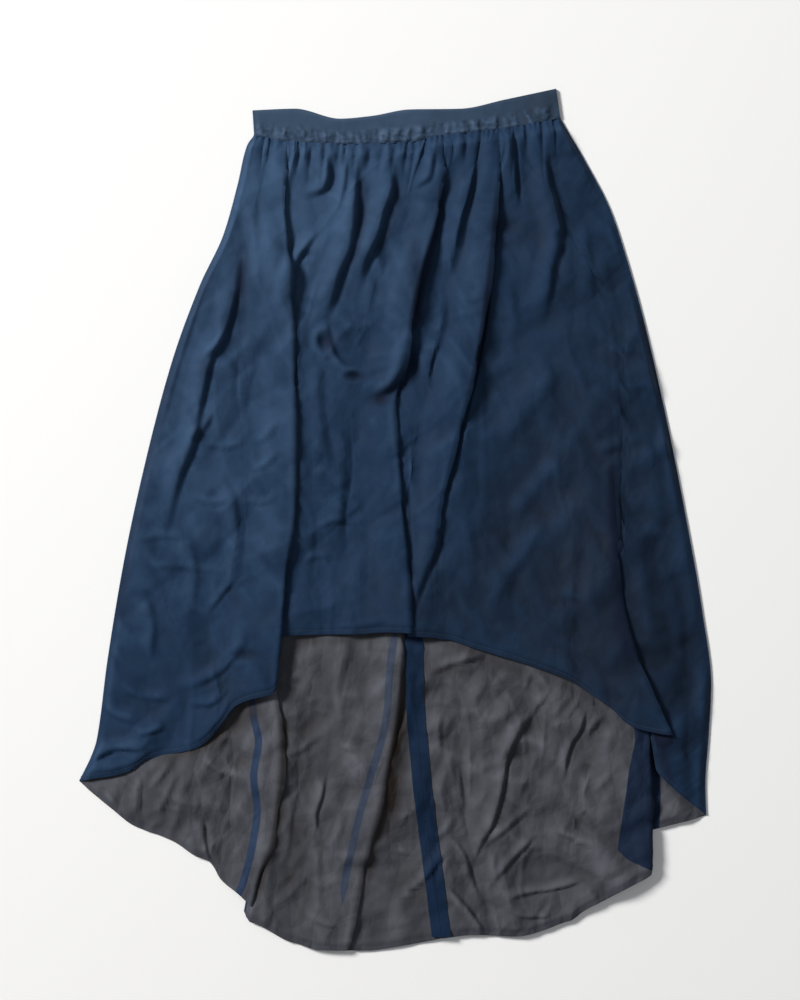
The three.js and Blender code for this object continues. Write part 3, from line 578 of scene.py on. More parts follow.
class Curve:
    """A smooth curve through table rows that never overshoots them."""

    def __init__(self, keys: Sequence[float], values: Sequence[float]) -> None:
        """Sort the rows and find a tangent at each.

        Args:
            keys: Places along the curve.
            values: The value at each place.
        """
        order = np.argsort(keys)
        self.keys = np.asarray(keys, float)[order]
        self.values = np.asarray(values, float)[order]
        slopes = np.diff(self.values) / np.diff(self.keys)
        self.tangents = np.concatenate([slopes[:1], harmonic(slopes[:-1], slopes[1:]), slopes[-1:]])

    @classmethod
    def of(cls, rows: Sequence[Sequence[float]]) -> "Curve":
        """A curve through rows of a key and a value."""
        return cls([row[0] for row in rows], [row[1] for row in rows])

    def __call__(self, at: Array | float) -> Array:
        """Values at some places.

        Args:
            at: Places, held to the ends of the table.

        Returns:
            The value at each place.
        """
        held = np.clip(np.asarray(at, float), self.keys[0], self.keys[-1])
        index = np.clip(np.searchsorted(self.keys, held, side="right") - 1, 0, len(self.keys) - 2)
        span = self.keys[index + 1] - self.keys[index]
        values = (self.values[index], self.values[index + 1])
        slopes = (span * self.tangents[index], span * self.tangents[index + 1])
        return cubic((held - self.keys[index]) / span, values, slopes)


left_edge = Curve.of(LEFT_SIDE)
right_edge = Curve.of(RIGHT_SIDE)
seam_height = Curve.of(WAIST_SEAM)
band_top = Curve.of(WAIST_TOP)
back_seam = Curve.of(BACK_SEAM)


class Tuck:
    """A tuck as smooth functions of y."""

    def __init__(self, rows: Sequence[TuckRow]) -> None:
        """Read the rows of a tuck.

        Args:
            rows: The tuck from the waist to the hem.
        """
        levels, lines, heights, overhangs, spreads = zip(*rows)
        self.line = Curve(levels, lines)
        self.height = Curve(levels, heights)
        self.overhang = Curve(levels, overhangs)
        self.spread = Curve(levels, spreads)

    def place(self, section: SectionRow, y: Array) -> Place:
        """Where one line of the section lies.

        Args:
            section: The place in the section.
            y: Levels down the panel.

        Returns:
            The folded x, the lift and the flat x at each level.
        """
        folded = smooth((self.height(y) - LOW_FOLD_HEIGHT) / (FULL_FOLD_HEIGHT - LOW_FOLD_HEIGHT))
        line, spread = self.line(y), self.spread(y)
        eased = section.flat + SOFT_FALL * max(0.0, section.flat - SOFT_FALL_FROM)
        x = line + spread * mix(eased, section.reach, folded) + section.over * self.overhang(y) * folded
        return x, section.lift * self.height(y), line + spread * section.flat


front_tucks = [Tuck(rows) for rows in FRONT_TUCKS]
back_tucks = [Tuck(rows) for rows in BACK_TUCKS]


class Rails:
    """Lines that run down a panel: its edges and the lines of each tuck between them."""

    def __init__(self, first: Line, tucks: Sequence[Tuck], last: Line) -> None:
        """Lay the lines out from left to right.

        Args:
            first: The left edge, as x over y.
            tucks: The tucks of the panel.
            last: The right edge, as x over y.
        """
        self.places: list[Callable[[Array], Place]] = [self.edge(first)]
        for tuck in tucks:
            self.places += [self.rail(tuck, section) for section in TUCK_SECTION]
        self.places.append(self.edge(last))
        self.last = len(self.places) - 1

    @staticmethod
    def edge(line: Line) -> Callable[[Array], Place]:
        """A rail that follows an edge on the ground."""
        return lambda y: (line(y), np.zeros_like(np.asarray(y, float)), line(y))

    @staticmethod
    def rail(tuck: Tuck, section: SectionRow) -> Callable[[Array], Place]:
        """A rail that follows one place of a tuck's section."""
        return lambda y: tuck.place(section, y)

    def at(self, u: float, y: Array) -> Place:
        """Smoothly between the rails.

        Args:
            u: Rail coordinate.
            y: Levels down the panel.

        Returns:
            The folded x, the lift and the flat x at each level.
        """
        index = min(int(u), self.last - 1)
        t = u - index
        near = [self.places[min(max(index + step, 0), self.last)](y) for step in (-1, 0, 1, 2)]
        x, z = (self.between([place[axis] for place in near], index, t) for axis in (0, 1))
        return x, z, mix(near[1][2], near[2][2], t)

    def between(self, values: list[Array], index: int, t: float) -> Array:
        """Blend four neighbouring rails without overshoot.

        Args:
            values: One property at the rail before, the two around and the one after.
            index: The rail on the left of the place.
            t: The share of the way to the next rail.

        Returns:
            The property at the place.
        """
        slope = values[2] - values[1]
        before = slope if index == 0 else values[1] - values[0]
        after = slope if index == self.last - 1 else values[3] - values[2]
        return cubic(t, (values[1], values[2]), (harmonic(before, slope), harmonic(slope, after)))

    def coordinate(self, x: float, y: float) -> float:
        """The rail coordinate of a flat place.

        Args:
            x: Place across.
            y: Place along.

        Returns:
            The coordinate, which counts the rails from the left.
        """
        flats = [float(place(np.array(y))[2]) for place in self.places]
        for index in range(self.last):
            if x <= flats[index + 1] or index == self.last - 1:
                span = flats[index + 1] - flats[index]
                return index + float(clamp01((x - flats[index]) / span))
        return float(self.last)

    def columns(self, spans: Sequence[int], steps: Sequence[int]) -> Array:
        """Columns of a mesh over the rails.

        Args:
            spans: How many columns each wide span between tucks has.
            steps: How many columns each step of a tuck's section has.

        Returns:
            The rail coordinate of each column.
        """
        counts: list[int] = []
        for number, count in enumerate(spans):
            counts.append(count)
            if number < len(spans) - 1:
                counts += list(steps)
        pieces = [index + np.arange(count) / count for index, count in enumerate(counts)]
        return np.append(np.concatenate(pieces), self.last)


class Noise:
    """Smooth seeded noise over a plane."""

    def __init__(self, seed: int, size: int = 128) -> None:
        """Draw a seeded lattice of values, which repeats after its size."""
        self.lattice = np.random.default_rng(seed).uniform(-1, 1, (size, size))
        self.size = size

    def square(self, x: Array, y: Array) -> tuple[Array, ...]:
        """Look up the lattice squares around some places.

        Args:
            x: Places across, in lattice steps.
            y: Places along, in lattice steps.

        Returns:
            The shares across and along a square, then its near, right, upper and far corner values.
        """
        column, row = np.floor(x).astype(int), np.floor(y).astype(int)
        steps = ((0, 0), (1, 0), (0, 1), (1, 1))
        corners = [self.lattice[(row + up) % self.size, (column + right) % self.size] for right, up in steps]
        return x - column, y - row, *corners

    def __call__(self, x: Array, y: Array) -> Array:
        """Noise from -1 to 1 at places given in lattice steps."""
        tx, ty, near, right, upper, far = self.square(x, y)
        return mix(mix(near, right, smooth(tx)), mix(upper, far, smooth(tx)), smooth(ty))


class Facets(Noise):
    """Seeded flat facets that meet at straight creases, over a plane of triangles."""

    def __call__(self, x: Array, y: Array) -> Array:
        """Heights from -1 to 1 at places given in lattice steps."""
        tx, ty, near, right, upper, far = self.square(x, y)
        low = near + tx * (right - near) + ty * (upper - near)
        high = far + (1 - tx) * (upper - far) + (1 - ty) * (right - far)
        return np.where(tx + ty < 1, low, high)


class CrumpleRow(NamedTuple):
    """One size of crumples: their pitch, height, turn in degrees, how long they are for their width, and the
    height and half width of the pinched ridges between them."""

    pitch: float
    height: float
    turn: float
    stretch: float
    ridge: float = 0.0
    ridge_width: float = 0.08


FRONT_CRUMPLES = (
    CrumpleRow(48, 4.2, 8, 2.2, 1.0, 0.18), CrumpleRow(32, 3.2, -64, 1.9, 0.8, 0.22),
    CrumpleRow(17, 1.6, 28, 1.7),
)
BACK_CRUMPLES = (
    CrumpleRow(44, 4.8, -12, 1.7, 1.0, 0.2), CrumpleRow(28, 4.0, 36, 1.4, 0.9, 0.24),
    CrumpleRow(15, 2.0, -50, 1.3),
)
BAND_CRUSH = (CrumpleRow(11, 1.6, 6, 2.4), CrumpleRow(6.5, 1.0, -12, 1.6), CrumpleRow(4, 0.4, 30, 1))
BAND_DRIFT = (CrumpleRow(46, 1.0, 70, 1.6), CrumpleRow(20, 0.5, 10, 2.5))


@dataclass(frozen=True)
class Crumple:
    """Small creases of crushed thin cloth, from a few turned layers of bent facets."""

    seed: int
    rows: tuple[CrumpleRow, ...]

    def __call__(self, x: Array, y: Array) -> Array:
        """Height of the crumples, about level with zero on average.

        Args:
            x: Places across.
            y: Places along.

        Returns:
            The height at each place.
        """
        total = np.zeros_like(x)
        for index, row in enumerate(self.rows):
            facets = Facets(self.seed + index)
            bend_across, bend_along = Noise(self.seed + 50 + index), Noise(self.seed + 80 + index)
            angle = math.radians(row.turn)
            across = (x * math.cos(angle) + y * math.sin(angle)) / row.pitch
            along = (y * math.cos(angle) - x * math.sin(angle)) / (row.pitch * row.stretch)
            bent_across = across + BEND * bend_across(across / BEND_PITCH, along / BEND_PITCH)
            bent_along = along + BEND * bend_along(across / BEND_PITCH, along / BEND_PITCH)
            values = facets(bent_across + LAYER_STEP[0] * index, bent_along + LAYER_STEP[1] * index)
            total += row.height * values
            if row.ridge:
                vary = bend_across(across / RIDGE_PITCH + RIDGE_SHIFT, along / RIDGE_PITCH)
                strength = clamp01(RIDGE_MEAN + RIDGE_SPREAD * vary)
                total += row.ridge * strength * smooth(1 - np.abs(values + RIDGE_LEVEL) / row.ridge_width)
        return total


def distances(path: Path, x: Array, y: Array) -> tuple[Array, Array]:
    """How far places lie from a smooth path.

    Args:
        path: Points of the path.
        x: Places across.
        y: Places along.

    Returns:
        The signed distance, above zero to the right of a path that runs down and below one that runs to the
        left, and the share of the way along the path.
    """
    points = np.asarray(path, float)
    steps = np.concatenate([[0.0], np.cumsum(np.hypot(*np.diff(points, axis=0).T))])
    dense = np.linspace(0, steps[-1], max(8, int(steps[-1] / 5)))
    line = np.stack([Curve(steps, points[:, 0])(dense), Curve(steps, points[:, 1])(dense)], axis=1)
    best = np.full(x.shape, np.inf)
    side = np.zeros(x.shape)
    share = np.zeros(x.shape)
    for index in range(len(line) - 1):
        start, run = line[index], line[index + 1] - line[index]
        length = float(np.hypot(*run))
        along = clamp01(((x - start[0]) * run[0] + (y - start[1]) * run[1]) / length**2)
        dx, dy = x - start[0] - along * run[0], y - start[1] - along * run[1]
        away = np.hypot(dx, dy)
        nearer = away < best
        best = np.where(nearer, away, best)
        side = np.where(nearer, np.sign(dy * run[0] - dx * run[1]), side)
        share = np.where(nearer, (index + along) / (len(line) - 1), share)
    return best * side, share


def within(path: Path, reach: float, x: Array, y: Array) -> Array:
    """Which places lie in the box around a path, widened by a reach."""
    points = np.asarray(path, float)
    low, high = points.min(0) - reach, points.max(0) + reach
    return (x > low[0]) & (x < high[0]) & (y > low[1]) & (y < high[1])


@dataclass(frozen=True)
class Relief:
    """Everything that a panel's cloth shows besides its tucks: folds, dimples and crumples."""

    folds: tuple[Fold, ...]
    dimples: tuple[Dimple, ...]
    crumple: Crumple
    base: float

    def __call__(self, x: Array, y: Array) -> Array:
        """Height over the ground.

        Args:
            x: Places across.
            y: Places along.

        Returns:
            The height at each place, never below zero.
        """
        total = self.crumple(x, y) + self.base
        for fold in self.folds:
            near = within(fold.path, 1.6 * fold.left + fold.right, x, y)
            total[near] += self.fold_height(fold, x[near], y[near])
        for dimple in self.dimples:
            across, along = (x - dimple.x) / dimple.across, (y - dimple.y) / dimple.along
            away = np.hypot(across, along)
            total -= dimple.depth * (1 - smooth(away / DIMPLE_REACH))
            leftward = smooth(0.5 - RIM_TURN * across / np.maximum(away, 0.1))
            total += dimple.rim * np.exp(-(((away - RIM_PLACE) / RIM_WIDTH) ** 2)) * leftward
        return np.maximum(total, 0.0)

    @staticmethod
    def fold_height(fold: Fold, x: Array, y: Array) -> Array:
        """Height that one fold adds.

        Args:
            fold: The fold.
            x: Places across.
            y: Places along.

        Returns:
            The height at each place.
        """
        side, share = distances(fold.path, x, y)
        ends = smooth(share / FOLD_START) * smooth((1 - share) / FOLD_END)
        rise = smooth((side + RISE_FROM * fold.left) / (RISE_WIDTH * fold.left))
        fall = 1 - smooth((side + FALL_FROM * fold.right) / fold.right)
        slot = fold.slot * np.exp(-(((side - SLOT_PLACE * fold.right) / fold.slot_width) ** 2))
        return ends * (fold.height * rise * fall - slot)


def painted(patches: Sequence[Patch], shade_lines: Sequence[Tint] = ()) -> Field:
    """A field of painted light and shade, from soft round patches and soft lines.

    Args:
        patches: The patches.
        shade_lines: The lines.

    Returns:
        The summed amounts as a function of x and y.
    """

    def amount(x: Array, y: Array) -> Array:
        """Sum the patches and the lines.

        Args:
            x: Places across.
            y: Places along.

        Returns:
            The sum at each place.
        """
        total, lines = np.zeros_like(x), np.zeros_like(x)
        for patch in patches:
            away = ((x - patch.x) / patch.across) ** 2 + ((y - patch.y) / patch.along) ** 2
            total += patch.amount * np.exp(-away)
        for tint in shade_lines:
            near = within(tint.path, 3 * tint.width, x, y)
            side, share = distances(tint.path, x[near], y[near])
            ends = smooth(share / SHADE_LINE_END) * smooth((1 - share) / SHADE_LINE_END)
            lines[near] += tint.amount * ends * np.exp(-((side / tint.width) ** 2))
        return total + lines

    return amount


def strip_inset(strips: Sequence[Strip], x: Array, y: Array) -> Array:
    """How far inside a doubled band each place lies.

    Args:
        strips: The bands.
        x: Places across.
        y: Places along.

    Returns:
        The distance from the band's edge, below zero outside it.
    """
    inset = np.full(x.shape, -FAR)
    for strip in strips:
        near = within(strip.path, FAR, x, y)
        side, share = distances(strip.path, x[near], y[near])
        ends = STRIP_TAPER * (1 - smooth(share / STRIP_START))
        ends += STRIP_TAPER * (1 - smooth((1 - share) / STRIP_END))
        inset[near] = np.maximum(inset[near], 0.5 * strip.width - np.abs(side) - ends)
    return inset


def strip_tone(strips: Sequence[Strip], x: Array, y: Array) -> Array:
    """Depth of tone of the doubled band nearest to each place.

    Args:
        strips: The bands.
        x: Places across.
        y: Places along.

    Returns:
        The tone at each place, zero far from all bands.
    """
    nearest, tone = np.full(x.shape, np.inf), np.zeros(x.shape)
    for strip in strips:
        near = within(strip.path, FAR, x, y)
        away = np.abs(distances(strip.path, x[near], y[near])[0])
        tone[near] = np.where(away < nearest[near], strip.tone, tone[near])
        nearest[near] = np.minimum(nearest[near], away)
    return tone


def area_inset(outline: Path, x: Array, y: Array) -> Array:
    """How far inside a doubled patch each place lies.

    Args:
        outline: Corners of the patch.
        x: Places across.
        y: Places along.

    Returns:
        The distance from the outline, below zero outside it.
    """
    inside = np.zeros(x.shape, bool)
    nearest = np.full(x.shape, FAR)
    corners = [*outline, outline[0]]
    for (ax, ay), (bx, by) in zip(corners, corners[1:]):
        crosses = (ay > y) != (by > y)
        inside ^= crosses & (x < ax + (y - ay) * (bx - ax) / ((by - ay) or 1))
        along = clamp01(((x - ax) * (bx - ax) + (y - ay) * (by - ay)) / ((bx - ax) ** 2 + (by - ay) ** 2))
        nearest = np.minimum(nearest, np.hypot(x - mix(ax, bx, along), y - mix(ay, by, along)))
    return np.where(inside, nearest, -nearest)


def side_share(x: Array, y: Array, blend: float = SIDE_BLEND) -> Array:
    """Share of the inner height that a place has: none at the side seams, all of it further in."""
    return smooth(np.minimum(x - left_edge(y), right_edge(y) - x) / blend)


def gather_height(
    marks: Array, lengths: Array, x: Array, depth: Array, at_seam: float, below: float
) -> Array:
    """Height of the gathers below the waist seam.

    Args:
        marks: Where the valleys leave the seam.
        lengths: How far down each valley runs.
        x: Place along the seam that each point hangs from.
        depth: Depth of each point under the seam.
        at_seam: Height of the crests at the seam.
        below: Height of the crests a little lower.

    Returns:
        The height at each point.
    """
    index = np.clip(np.searchsorted(marks, x, side="right") - 1, 0, len(marks) - 2)
    share = clamp01((x - marks[index]) / (marks[index + 1] - marks[index]))
    length = mix(lengths[index], lengths[index + 1], share)
    narrow = np.minimum(1.0, (marks[index + 1] - marks[index]) / GATHER_WIDTH)
    height = mix(at_seam, below * narrow, smooth(depth / GATHER_DEPTH))
    vary = GATHER_MEAN + GATHER_SPREAD * np.sin(GATHER_TURN * index)
    crest = height * (1 - np.abs(2 * share - 1) ** 2) * vary
    turn = RIPPLE_TURN * x + RIPPLE_DRIFT * np.sin(RIPPLE_DRIFT_TURN * x)
    ripple = RIPPLE_HEIGHT * (0.5 + 0.5 * np.sin(turn))
    reach = RIPPLE_REACH + RIPPLE_REACH_SPREAD * np.sin(RIPPLE_REACH_TURN * x)
    return crest * (1 - smooth(depth / length)) + ripple * (1 - smooth(depth / reach))


gather_places, gather_lengths = zip(*FRONT_GATHERS)
left_end, right_end = float(left_edge(SEAM_LEVEL)), float(right_edge(SEAM_LEVEL))
front_marks = np.array([left_end, *gather_places, right_edge(SEAM_LEVEL + RIGHT_SEAM_RISE)])
front_lengths = np.array([GATHER_END, *gather_lengths, GATHER_END])
back_steps = np.arange(BACK_GATHERS + 1)
back_marks = mix(left_end, right_end, (back_steps + 0.25 * np.sin(2.4 * back_steps)) / BACK_GATHERS)
back_lengths = BACK_GATHER_LENGTH * (0.75 + 0.25 * np.cos(1.9 * back_steps))

front_relief = Relief(FRONT_FOLDS, FRONT_DIMPLES, Crumple(11, FRONT_CRUMPLES), 4.6)
back_relief = Relief(BACK_FOLDS, BACK_DIMPLES, Crumple(29, BACK_CRUMPLES), 5.2)
flat_front_hem = Curve.of([row[:2] for row in FRONT_HEM if row.tuck < 0])


def back_height(x: Array, y: Array) -> Array:
    """Height of the back's relief: full where it shows, low under the front panel."""
    showing = 1 - smooth((y - flat_front_hem(x) + SHOW_FROM) / SHOW_BLEND)
    return side_share(x, y, BACK_BLEND) * mix(HIDDEN_SHARE, 1.0, showing) * back_relief(x, y)


def cover_of_back(x: Array, y: Array) -> Array:
    """Height that the front needs over the back's tucks, gathers and seam allowances.

    Args:
        x: Places across.
        y: Places along.

    Returns:
        The height at each place.
    """
    covers = []
    for tuck in back_tucks:
        half = tuck.overhang(y) / 2
        away = np.abs(x - tuck.line(y) - half + TUCK_COVER_SHIFT) - half - TUCK_COVER_WIDTH
        covers.append(tuck.height(y) * (1 - smooth(away / TUCK_COVER_BLEND)))
    from_strip = np.abs(x - back_seam(y)) - ALLOWANCE_WIDTH - STRIP_COVER_WIDTH
    covers.append(STRIP_COVER * (1 - smooth(from_strip / STRIP_COVER_BLEND)))
    from_gathers = seam_height(x) - y - GATHER_COVER_DEPTH
    covers.append(GATHER_COVER * (1 - smooth(from_gathers / GATHER_COVER_BLEND)))
    return np.maximum.reduce(covers)


def front_ground(x: Array, y: Array) -> Array:
    """The height that the front panel lies on."""
    return WALL + SEAM_GAP + side_share(x, y) * (cover_of_back(x, y) + COVER_GAP)


def no_ground(x: Array, y: Array) -> Array:
    """The level surface under the back panels."""
    return np.zeros_like(x)


class Sheet(NamedTuple):
    """A finished grid of cloth: its upper face, the ground under it, its normals, its flat places and how far
    each place stands over or under the cloth around it, from -1 to 1, which paints light on crests and shade
    in hollows."""

    upper: Array
    lower: Array
    normals: Array
    flat: Array
    relief_shade: Array

    @classmethod
    def of(cls, upper: Array, lower: Array, flat_x: Array, flat_y: Array, relief_shade: Array) -> "Sheet":
        """A sheet from its faces, of which the lower one keeps every second point."""
        return cls(upper, lower[::2, ::2], grid_normals(upper), np.stack([flat_x, flat_y], axis=2), relief_shade)


def grid_normals(points: Array) -> Array:
    """Upward normals of a grid whose columns run to the right and rows down."""
    across = np.gradient(points, axis=1)
    down = np.gradient(points, axis=0)
    normals = np.cross(down, across)
    return normals / np.maximum(np.linalg.norm(normals, axis=2, keepdims=True), 1e-9)


def eroded(values: Array) -> Array:
    """The lowest value in the five by five window around each place of a grid."""
    padded = np.pad(values, 2, mode="edge")
    rows, columns = values.shape
    windows = [padded[i : i + rows, j : j + columns] for i in range(5) for j in range(5)]
    return np.minimum.reduce(windows)


def blurred(values: Array, reach: int) -> Array:
    """Mean of the square window around each place of a grid, taken twice.

    Args:
        values: The grid.
        reach: Steps from the middle of the window to its edge.

    Returns:
        The means.
    """
    width = 2 * reach + 1
    for _ in range(2):
        total = np.pad(values, reach, mode="edge").cumsum(0).cumsum(1)
        total = np.pad(total, ((1, 0), (1, 0)))
        across = total[:, width:] - total[:, :-width]
        values = (across[width:] - across[:-width]) / width**2
    return values


def relief_shade_of(upper: Array, full: float) -> Array:
    """How far places stand over their surroundings, from -1 to 1, which is reached at the full height; used
    as painted light on crests and painted shade in hollows.
    """
    height = upper[:, :, 2]
    return np.clip((height - blurred(height, RELIEF_SHADE_REACH)) / full, -1, 1)


def row_shares(count: int, top: float, hem: float) -> Array:
    """Rows of a panel, closer near the gathers and near the hem.

    Args:
        count: How many rows.
        top: How much closer they are at the seam.
        hem: How much closer they are at the hem.

    Returns:
        The share of the way down of each row.
    """
    at = np.linspace(0, 1, 2001)
    density = 1 + top * np.exp(-at / 0.08) + hem * np.exp(-(1 - at) / 0.03)
    total = np.concatenate([[0.0], np.cumsum((density[1:] + density[:-1]) / 2)])
    return np.interp(np.linspace(0, total[-1], count), total, at)


@dataclass
class Panel:
    """A panel of the skirt: its rails, its hem, the ground it lies on and the relief of its cloth."""

    name: str
    rails: Rails
    hem_rows: tuple[HemRow, ...]
    spans: tuple[int, ...]
    steps: tuple[int, ...]
    rows: Array
    ground: Field
    relief: Field
    gathers: Field
    seam_dip: float = 0.0
    seam_lap: float = 0.0
    dip_depth: float = 4.0
    hem_rise: float = 0.35
    hem_place: float = 2.4
    hem_width: float = 2.6
    hem_share: float = 0.55
    hem_fade: float = 12.0
    seam_fade: float = 14.0
    side_fade: float = 10.0
    tone_fade: float = 8.0
    hang_share: float = 0.6
    least_height: float = 0.3

    def hem_curve(self) -> Curve:
        """Find the hem's level over the rail coordinate.

        Returns:
            The level as a curve.
        """
        flats = [row.flat for row in TUCK_SECTION]
        places = []
        for row in self.hem_rows:
            if row.tuck < 0:
                places.append(self.rails.coordinate(row.x, row.y))
            else:
                places.append(1 + row.tuck * len(flats) + flats.index(row.x))
        return Curve(places, [row.y for row in self.hem_rows])

    def sheet(self) -> Sheet:
        """Lay the cloth out.

        Returns:
            The grid of the panel's cloth, in millimetres.
        """
        hem = self.hem_curve()
        columns = self.rails.columns(self.spans, self.steps)
        shape = (len(self.rows), len(columns))
        x, y, z, seam_x, depth, to_hem = (np.zeros(shape) for _ in range(6))
        for index, u in enumerate(columns):
            seam = float(self.rails.at(u, np.array(SEAM_LEVEL))[2])
            for _ in range(4):
                seam = float(self.rails.at(u, seam_height(seam))[2])
            top = float(seam_height(seam)) - SEAM_GAP
            level = mix(top, float(hem(u)), self.rows)
            x[:, index], z[:, index], _ = self.rails.at(u, level)
            y[:, index] = level
            seam_x[:, index] = seam
            depth[:, index] = top - level
            to_hem[:, index] = level - float(hem(u))
        ground = self.ground(x, y)
        base = np.stack([x, y, ground + z], axis=2)
        upright = grid_normals(base)
        level_share = smooth((upright[:, :, 2] - 0.25) / 0.5)
        edges = smooth(depth / self.seam_fade) * side_share(x, y, self.side_fade)
        edges *= mix(self.hem_share, 1.0, smooth(to_hem / self.hem_fade))
        hanging = mix(seam_x, x, self.hang_share)
        height = self.relief(x, y) * level_share * edges + self.gathers(hanging, depth)
        base[:, :, 2] -= self.seam_dip * (1 - smooth(depth / self.dip_depth))
        base[0, :, 1] += self.seam_lap
        steps = np.linalg.norm(np.diff(base, axis=1), axis=2)
        walked = np.concatenate([np.zeros((shape[0], 1)), np.cumsum(steps, axis=1)], axis=1)
        middle = shape[1] // 2
        flat = walked - walked[:, middle : middle + 1] + x[:, middle : middle + 1]
        roll = smooth(1 - np.abs(to_hem - self.hem_place) / self.hem_width) * self.hem_rise * level_share
        upper = base + upright * (height + roll + WALL)[:, :, None]
        lower = base + upright * eroded(height)[:, :, None]
        upper[:, :, 2] = np.maximum(upper[:, :, 2], self.least_height)
        lower[:, :, 2] = np.maximum(lower[:, :, 2], 0.0)
        # Painted light and shade: crests of the cloth are painted lighter and hollows darker, fading out near
        # the seam and the sides
        relief_shade = relief_shade_of(upper, 2.0) * smooth(depth / self.tone_fade) * side_share(x, y, self.tone_fade)
        return Sheet.of(upper, lower, flat, y, relief_shade)


def rim_faces(fine: Array, coarse: Array, flip: bool) -> list[tuple[int, ...]]:
    """Faces that join a fine edge to one with half as many points.

    Args:
        fine: Points of the fine edge.
        coarse: Points of the coarse edge.
        flip: Whether the faces turn the other way.

    Returns:
        The faces.
    """
    faces: list[tuple[int, ...]] = []
    for k in range(len(coarse) - 1):
        a, b, c = (int(value) for value in fine[2 * k : 2 * k + 3])
        low, high = int(coarse[k]), int(coarse[k + 1])
        faces += [(a, b, low), (b, high, low), (b, c, high)]
    return [face[::-1] for face in faces] if flip else faces


def quad_faces(index: Array, flip: bool) -> Array:
    """Quads over a grid of point numbers."""
    corners = [index[:-1, :-1], index[1:, :-1], index[1:, 1:], index[:-1, 1:]]
    quads = np.stack([corner.ravel() for corner in corners], axis=1)
    return quads[:, ::-1] if flip else quads


def shell_faces(upper: tuple[int, int], lower: tuple[int, int]) -> list[tuple[int, ...]]:
    """Faces of a closed shell whose lower grid has half the points of its upper grid each way.

    Args:
        upper: Rows and columns of the upper grid.
        lower: Rows and columns of the lower grid.

    Returns:
        The faces, all turned outwards.
    """
    top = np.arange(upper[0] * upper[1]).reshape(upper)
    bottom = np.arange(lower[0] * lower[1]).reshape(lower) + top.size
    faces = [tuple(face) for face in quad_faces(top, False).tolist()]
    faces += [tuple(face) for face in quad_faces(bottom, True).tolist()]
    faces += rim_faces(top[0], bottom[0], False)
    faces += rim_faces(top[-1], bottom[-1], True)
    faces += rim_faces(top[:, 0], bottom[:, 0], True)
    faces += rim_faces(top[:, -1], bottom[:, -1], False)
    return faces


def linked(name: str, data: bpy.types.ID) -> bpy.types.Object:
    """An object around some data, linked into the scene."""
    thing = bpy.data.objects.new(name, data)
    bpy.context.scene.collection.objects.link(thing)
    return thing


def cloth_object(name: str, sheet: Sheet, attributes: dict[str, Field]) -> bpy.types.Object:
    """Make a closed shell of cloth as an object.

    Args:
        name: Name of the piece.
        sheet: The laid-out cloth, in millimetres.
        attributes: Values painted on the cloth, as functions of x and y.

    Returns:
        The object, in metres.
    """
    rows, columns = sheet.upper.shape[:2]
    low_rows, low_columns = sheet.lower.shape[:2]
    points = np.concatenate([sheet.upper.reshape(-1, 3), sheet.lower.reshape(-1, 3)])
    flats = np.concatenate([sheet.flat.reshape(-1, 2), sheet.flat[::2, ::2].reshape(-1, 2)])
    mesh = bpy.data.meshes.new(name)
    mesh.from_pydata((points * MM).tolist(), [], shell_faces((rows, columns), (low_rows, low_columns)))
    mesh.validate()
    layer = mesh.uv_layers.new(name="cloth")
    loops = np.zeros(len(mesh.loops), np.int32)
    mesh.loops.foreach_get("vertex_index", loops)
    layer.data.foreach_set("uv", (flats[loops] * MM).astype(np.float32).ravel())
    values = {key: field(points[:, 0], points[:, 1]) for key, field in attributes.items()}
    # Painted light on crests and painted shade in hollows, for both faces
    values["relief_shade"] = np.concatenate([sheet.relief_shade.ravel(), sheet.relief_shade[::2, ::2].ravel()])
    values["below"] = np.arange(len(points)) >= rows * columns
    for key, value in values.items():
        mesh.attributes.new(key, "FLOAT", "POINT").data.foreach_set("value", value.astype(np.float32))
    mesh.shade_smooth()
    mesh.set_sharp_from_angle(angle=math.radians(SHARP_ANGLE))
    log.info("%s: %d points, %d faces", name, len(mesh.vertices), len(mesh.polygons))
    return linked(name, mesh)


def operator(operation: str, turned: bool = False) -> Callable:
    """Make a method of a wire that adds one Math node.

    Args:
        operation: The Math node's operation.
        turned: Whether the other value comes first.

    Returns:
        The method.
    """

    def method(self: "Wire", other: "Wire | float") -> "Wire":
        """Add the node."""
        return self.math(operation, other, self) if turned else self.math(operation, self, other)

    return method


class Wire:
    """One value in a shader, on which Python's operators add Math nodes."""

    def __init__(self, shader: "Shader", socket: bpy.types.NodeSocket) -> None:
        """Wrap an output socket of a shader."""
        self.shader = shader
        self.socket = socket

    def math(self, operation: str, first: "Wire | float", second: "Wire | float" = 0.0) -> "Wire":
        """Add one Math node."""
        return self.shader.wire("ShaderNodeMath", 0, {"operation": operation}, {0: first, 1: second})

    __add__ = __radd__ = operator("ADD")
    __sub__ = operator("SUBTRACT")
    __rsub__ = operator("SUBTRACT", True)
    __mul__ = __rmul__ = operator("MULTIPLY")
    __truediv__ = operator("DIVIDE")

    def sine(self) -> "Wire":
        """Sine."""
        return self.math("SINE", self)

    def clamped(self) -> "Wire":
        """Held between 0 and 1."""
        return self.math("MINIMUM", self.math("MAXIMUM", self, 0.0), 1.0)


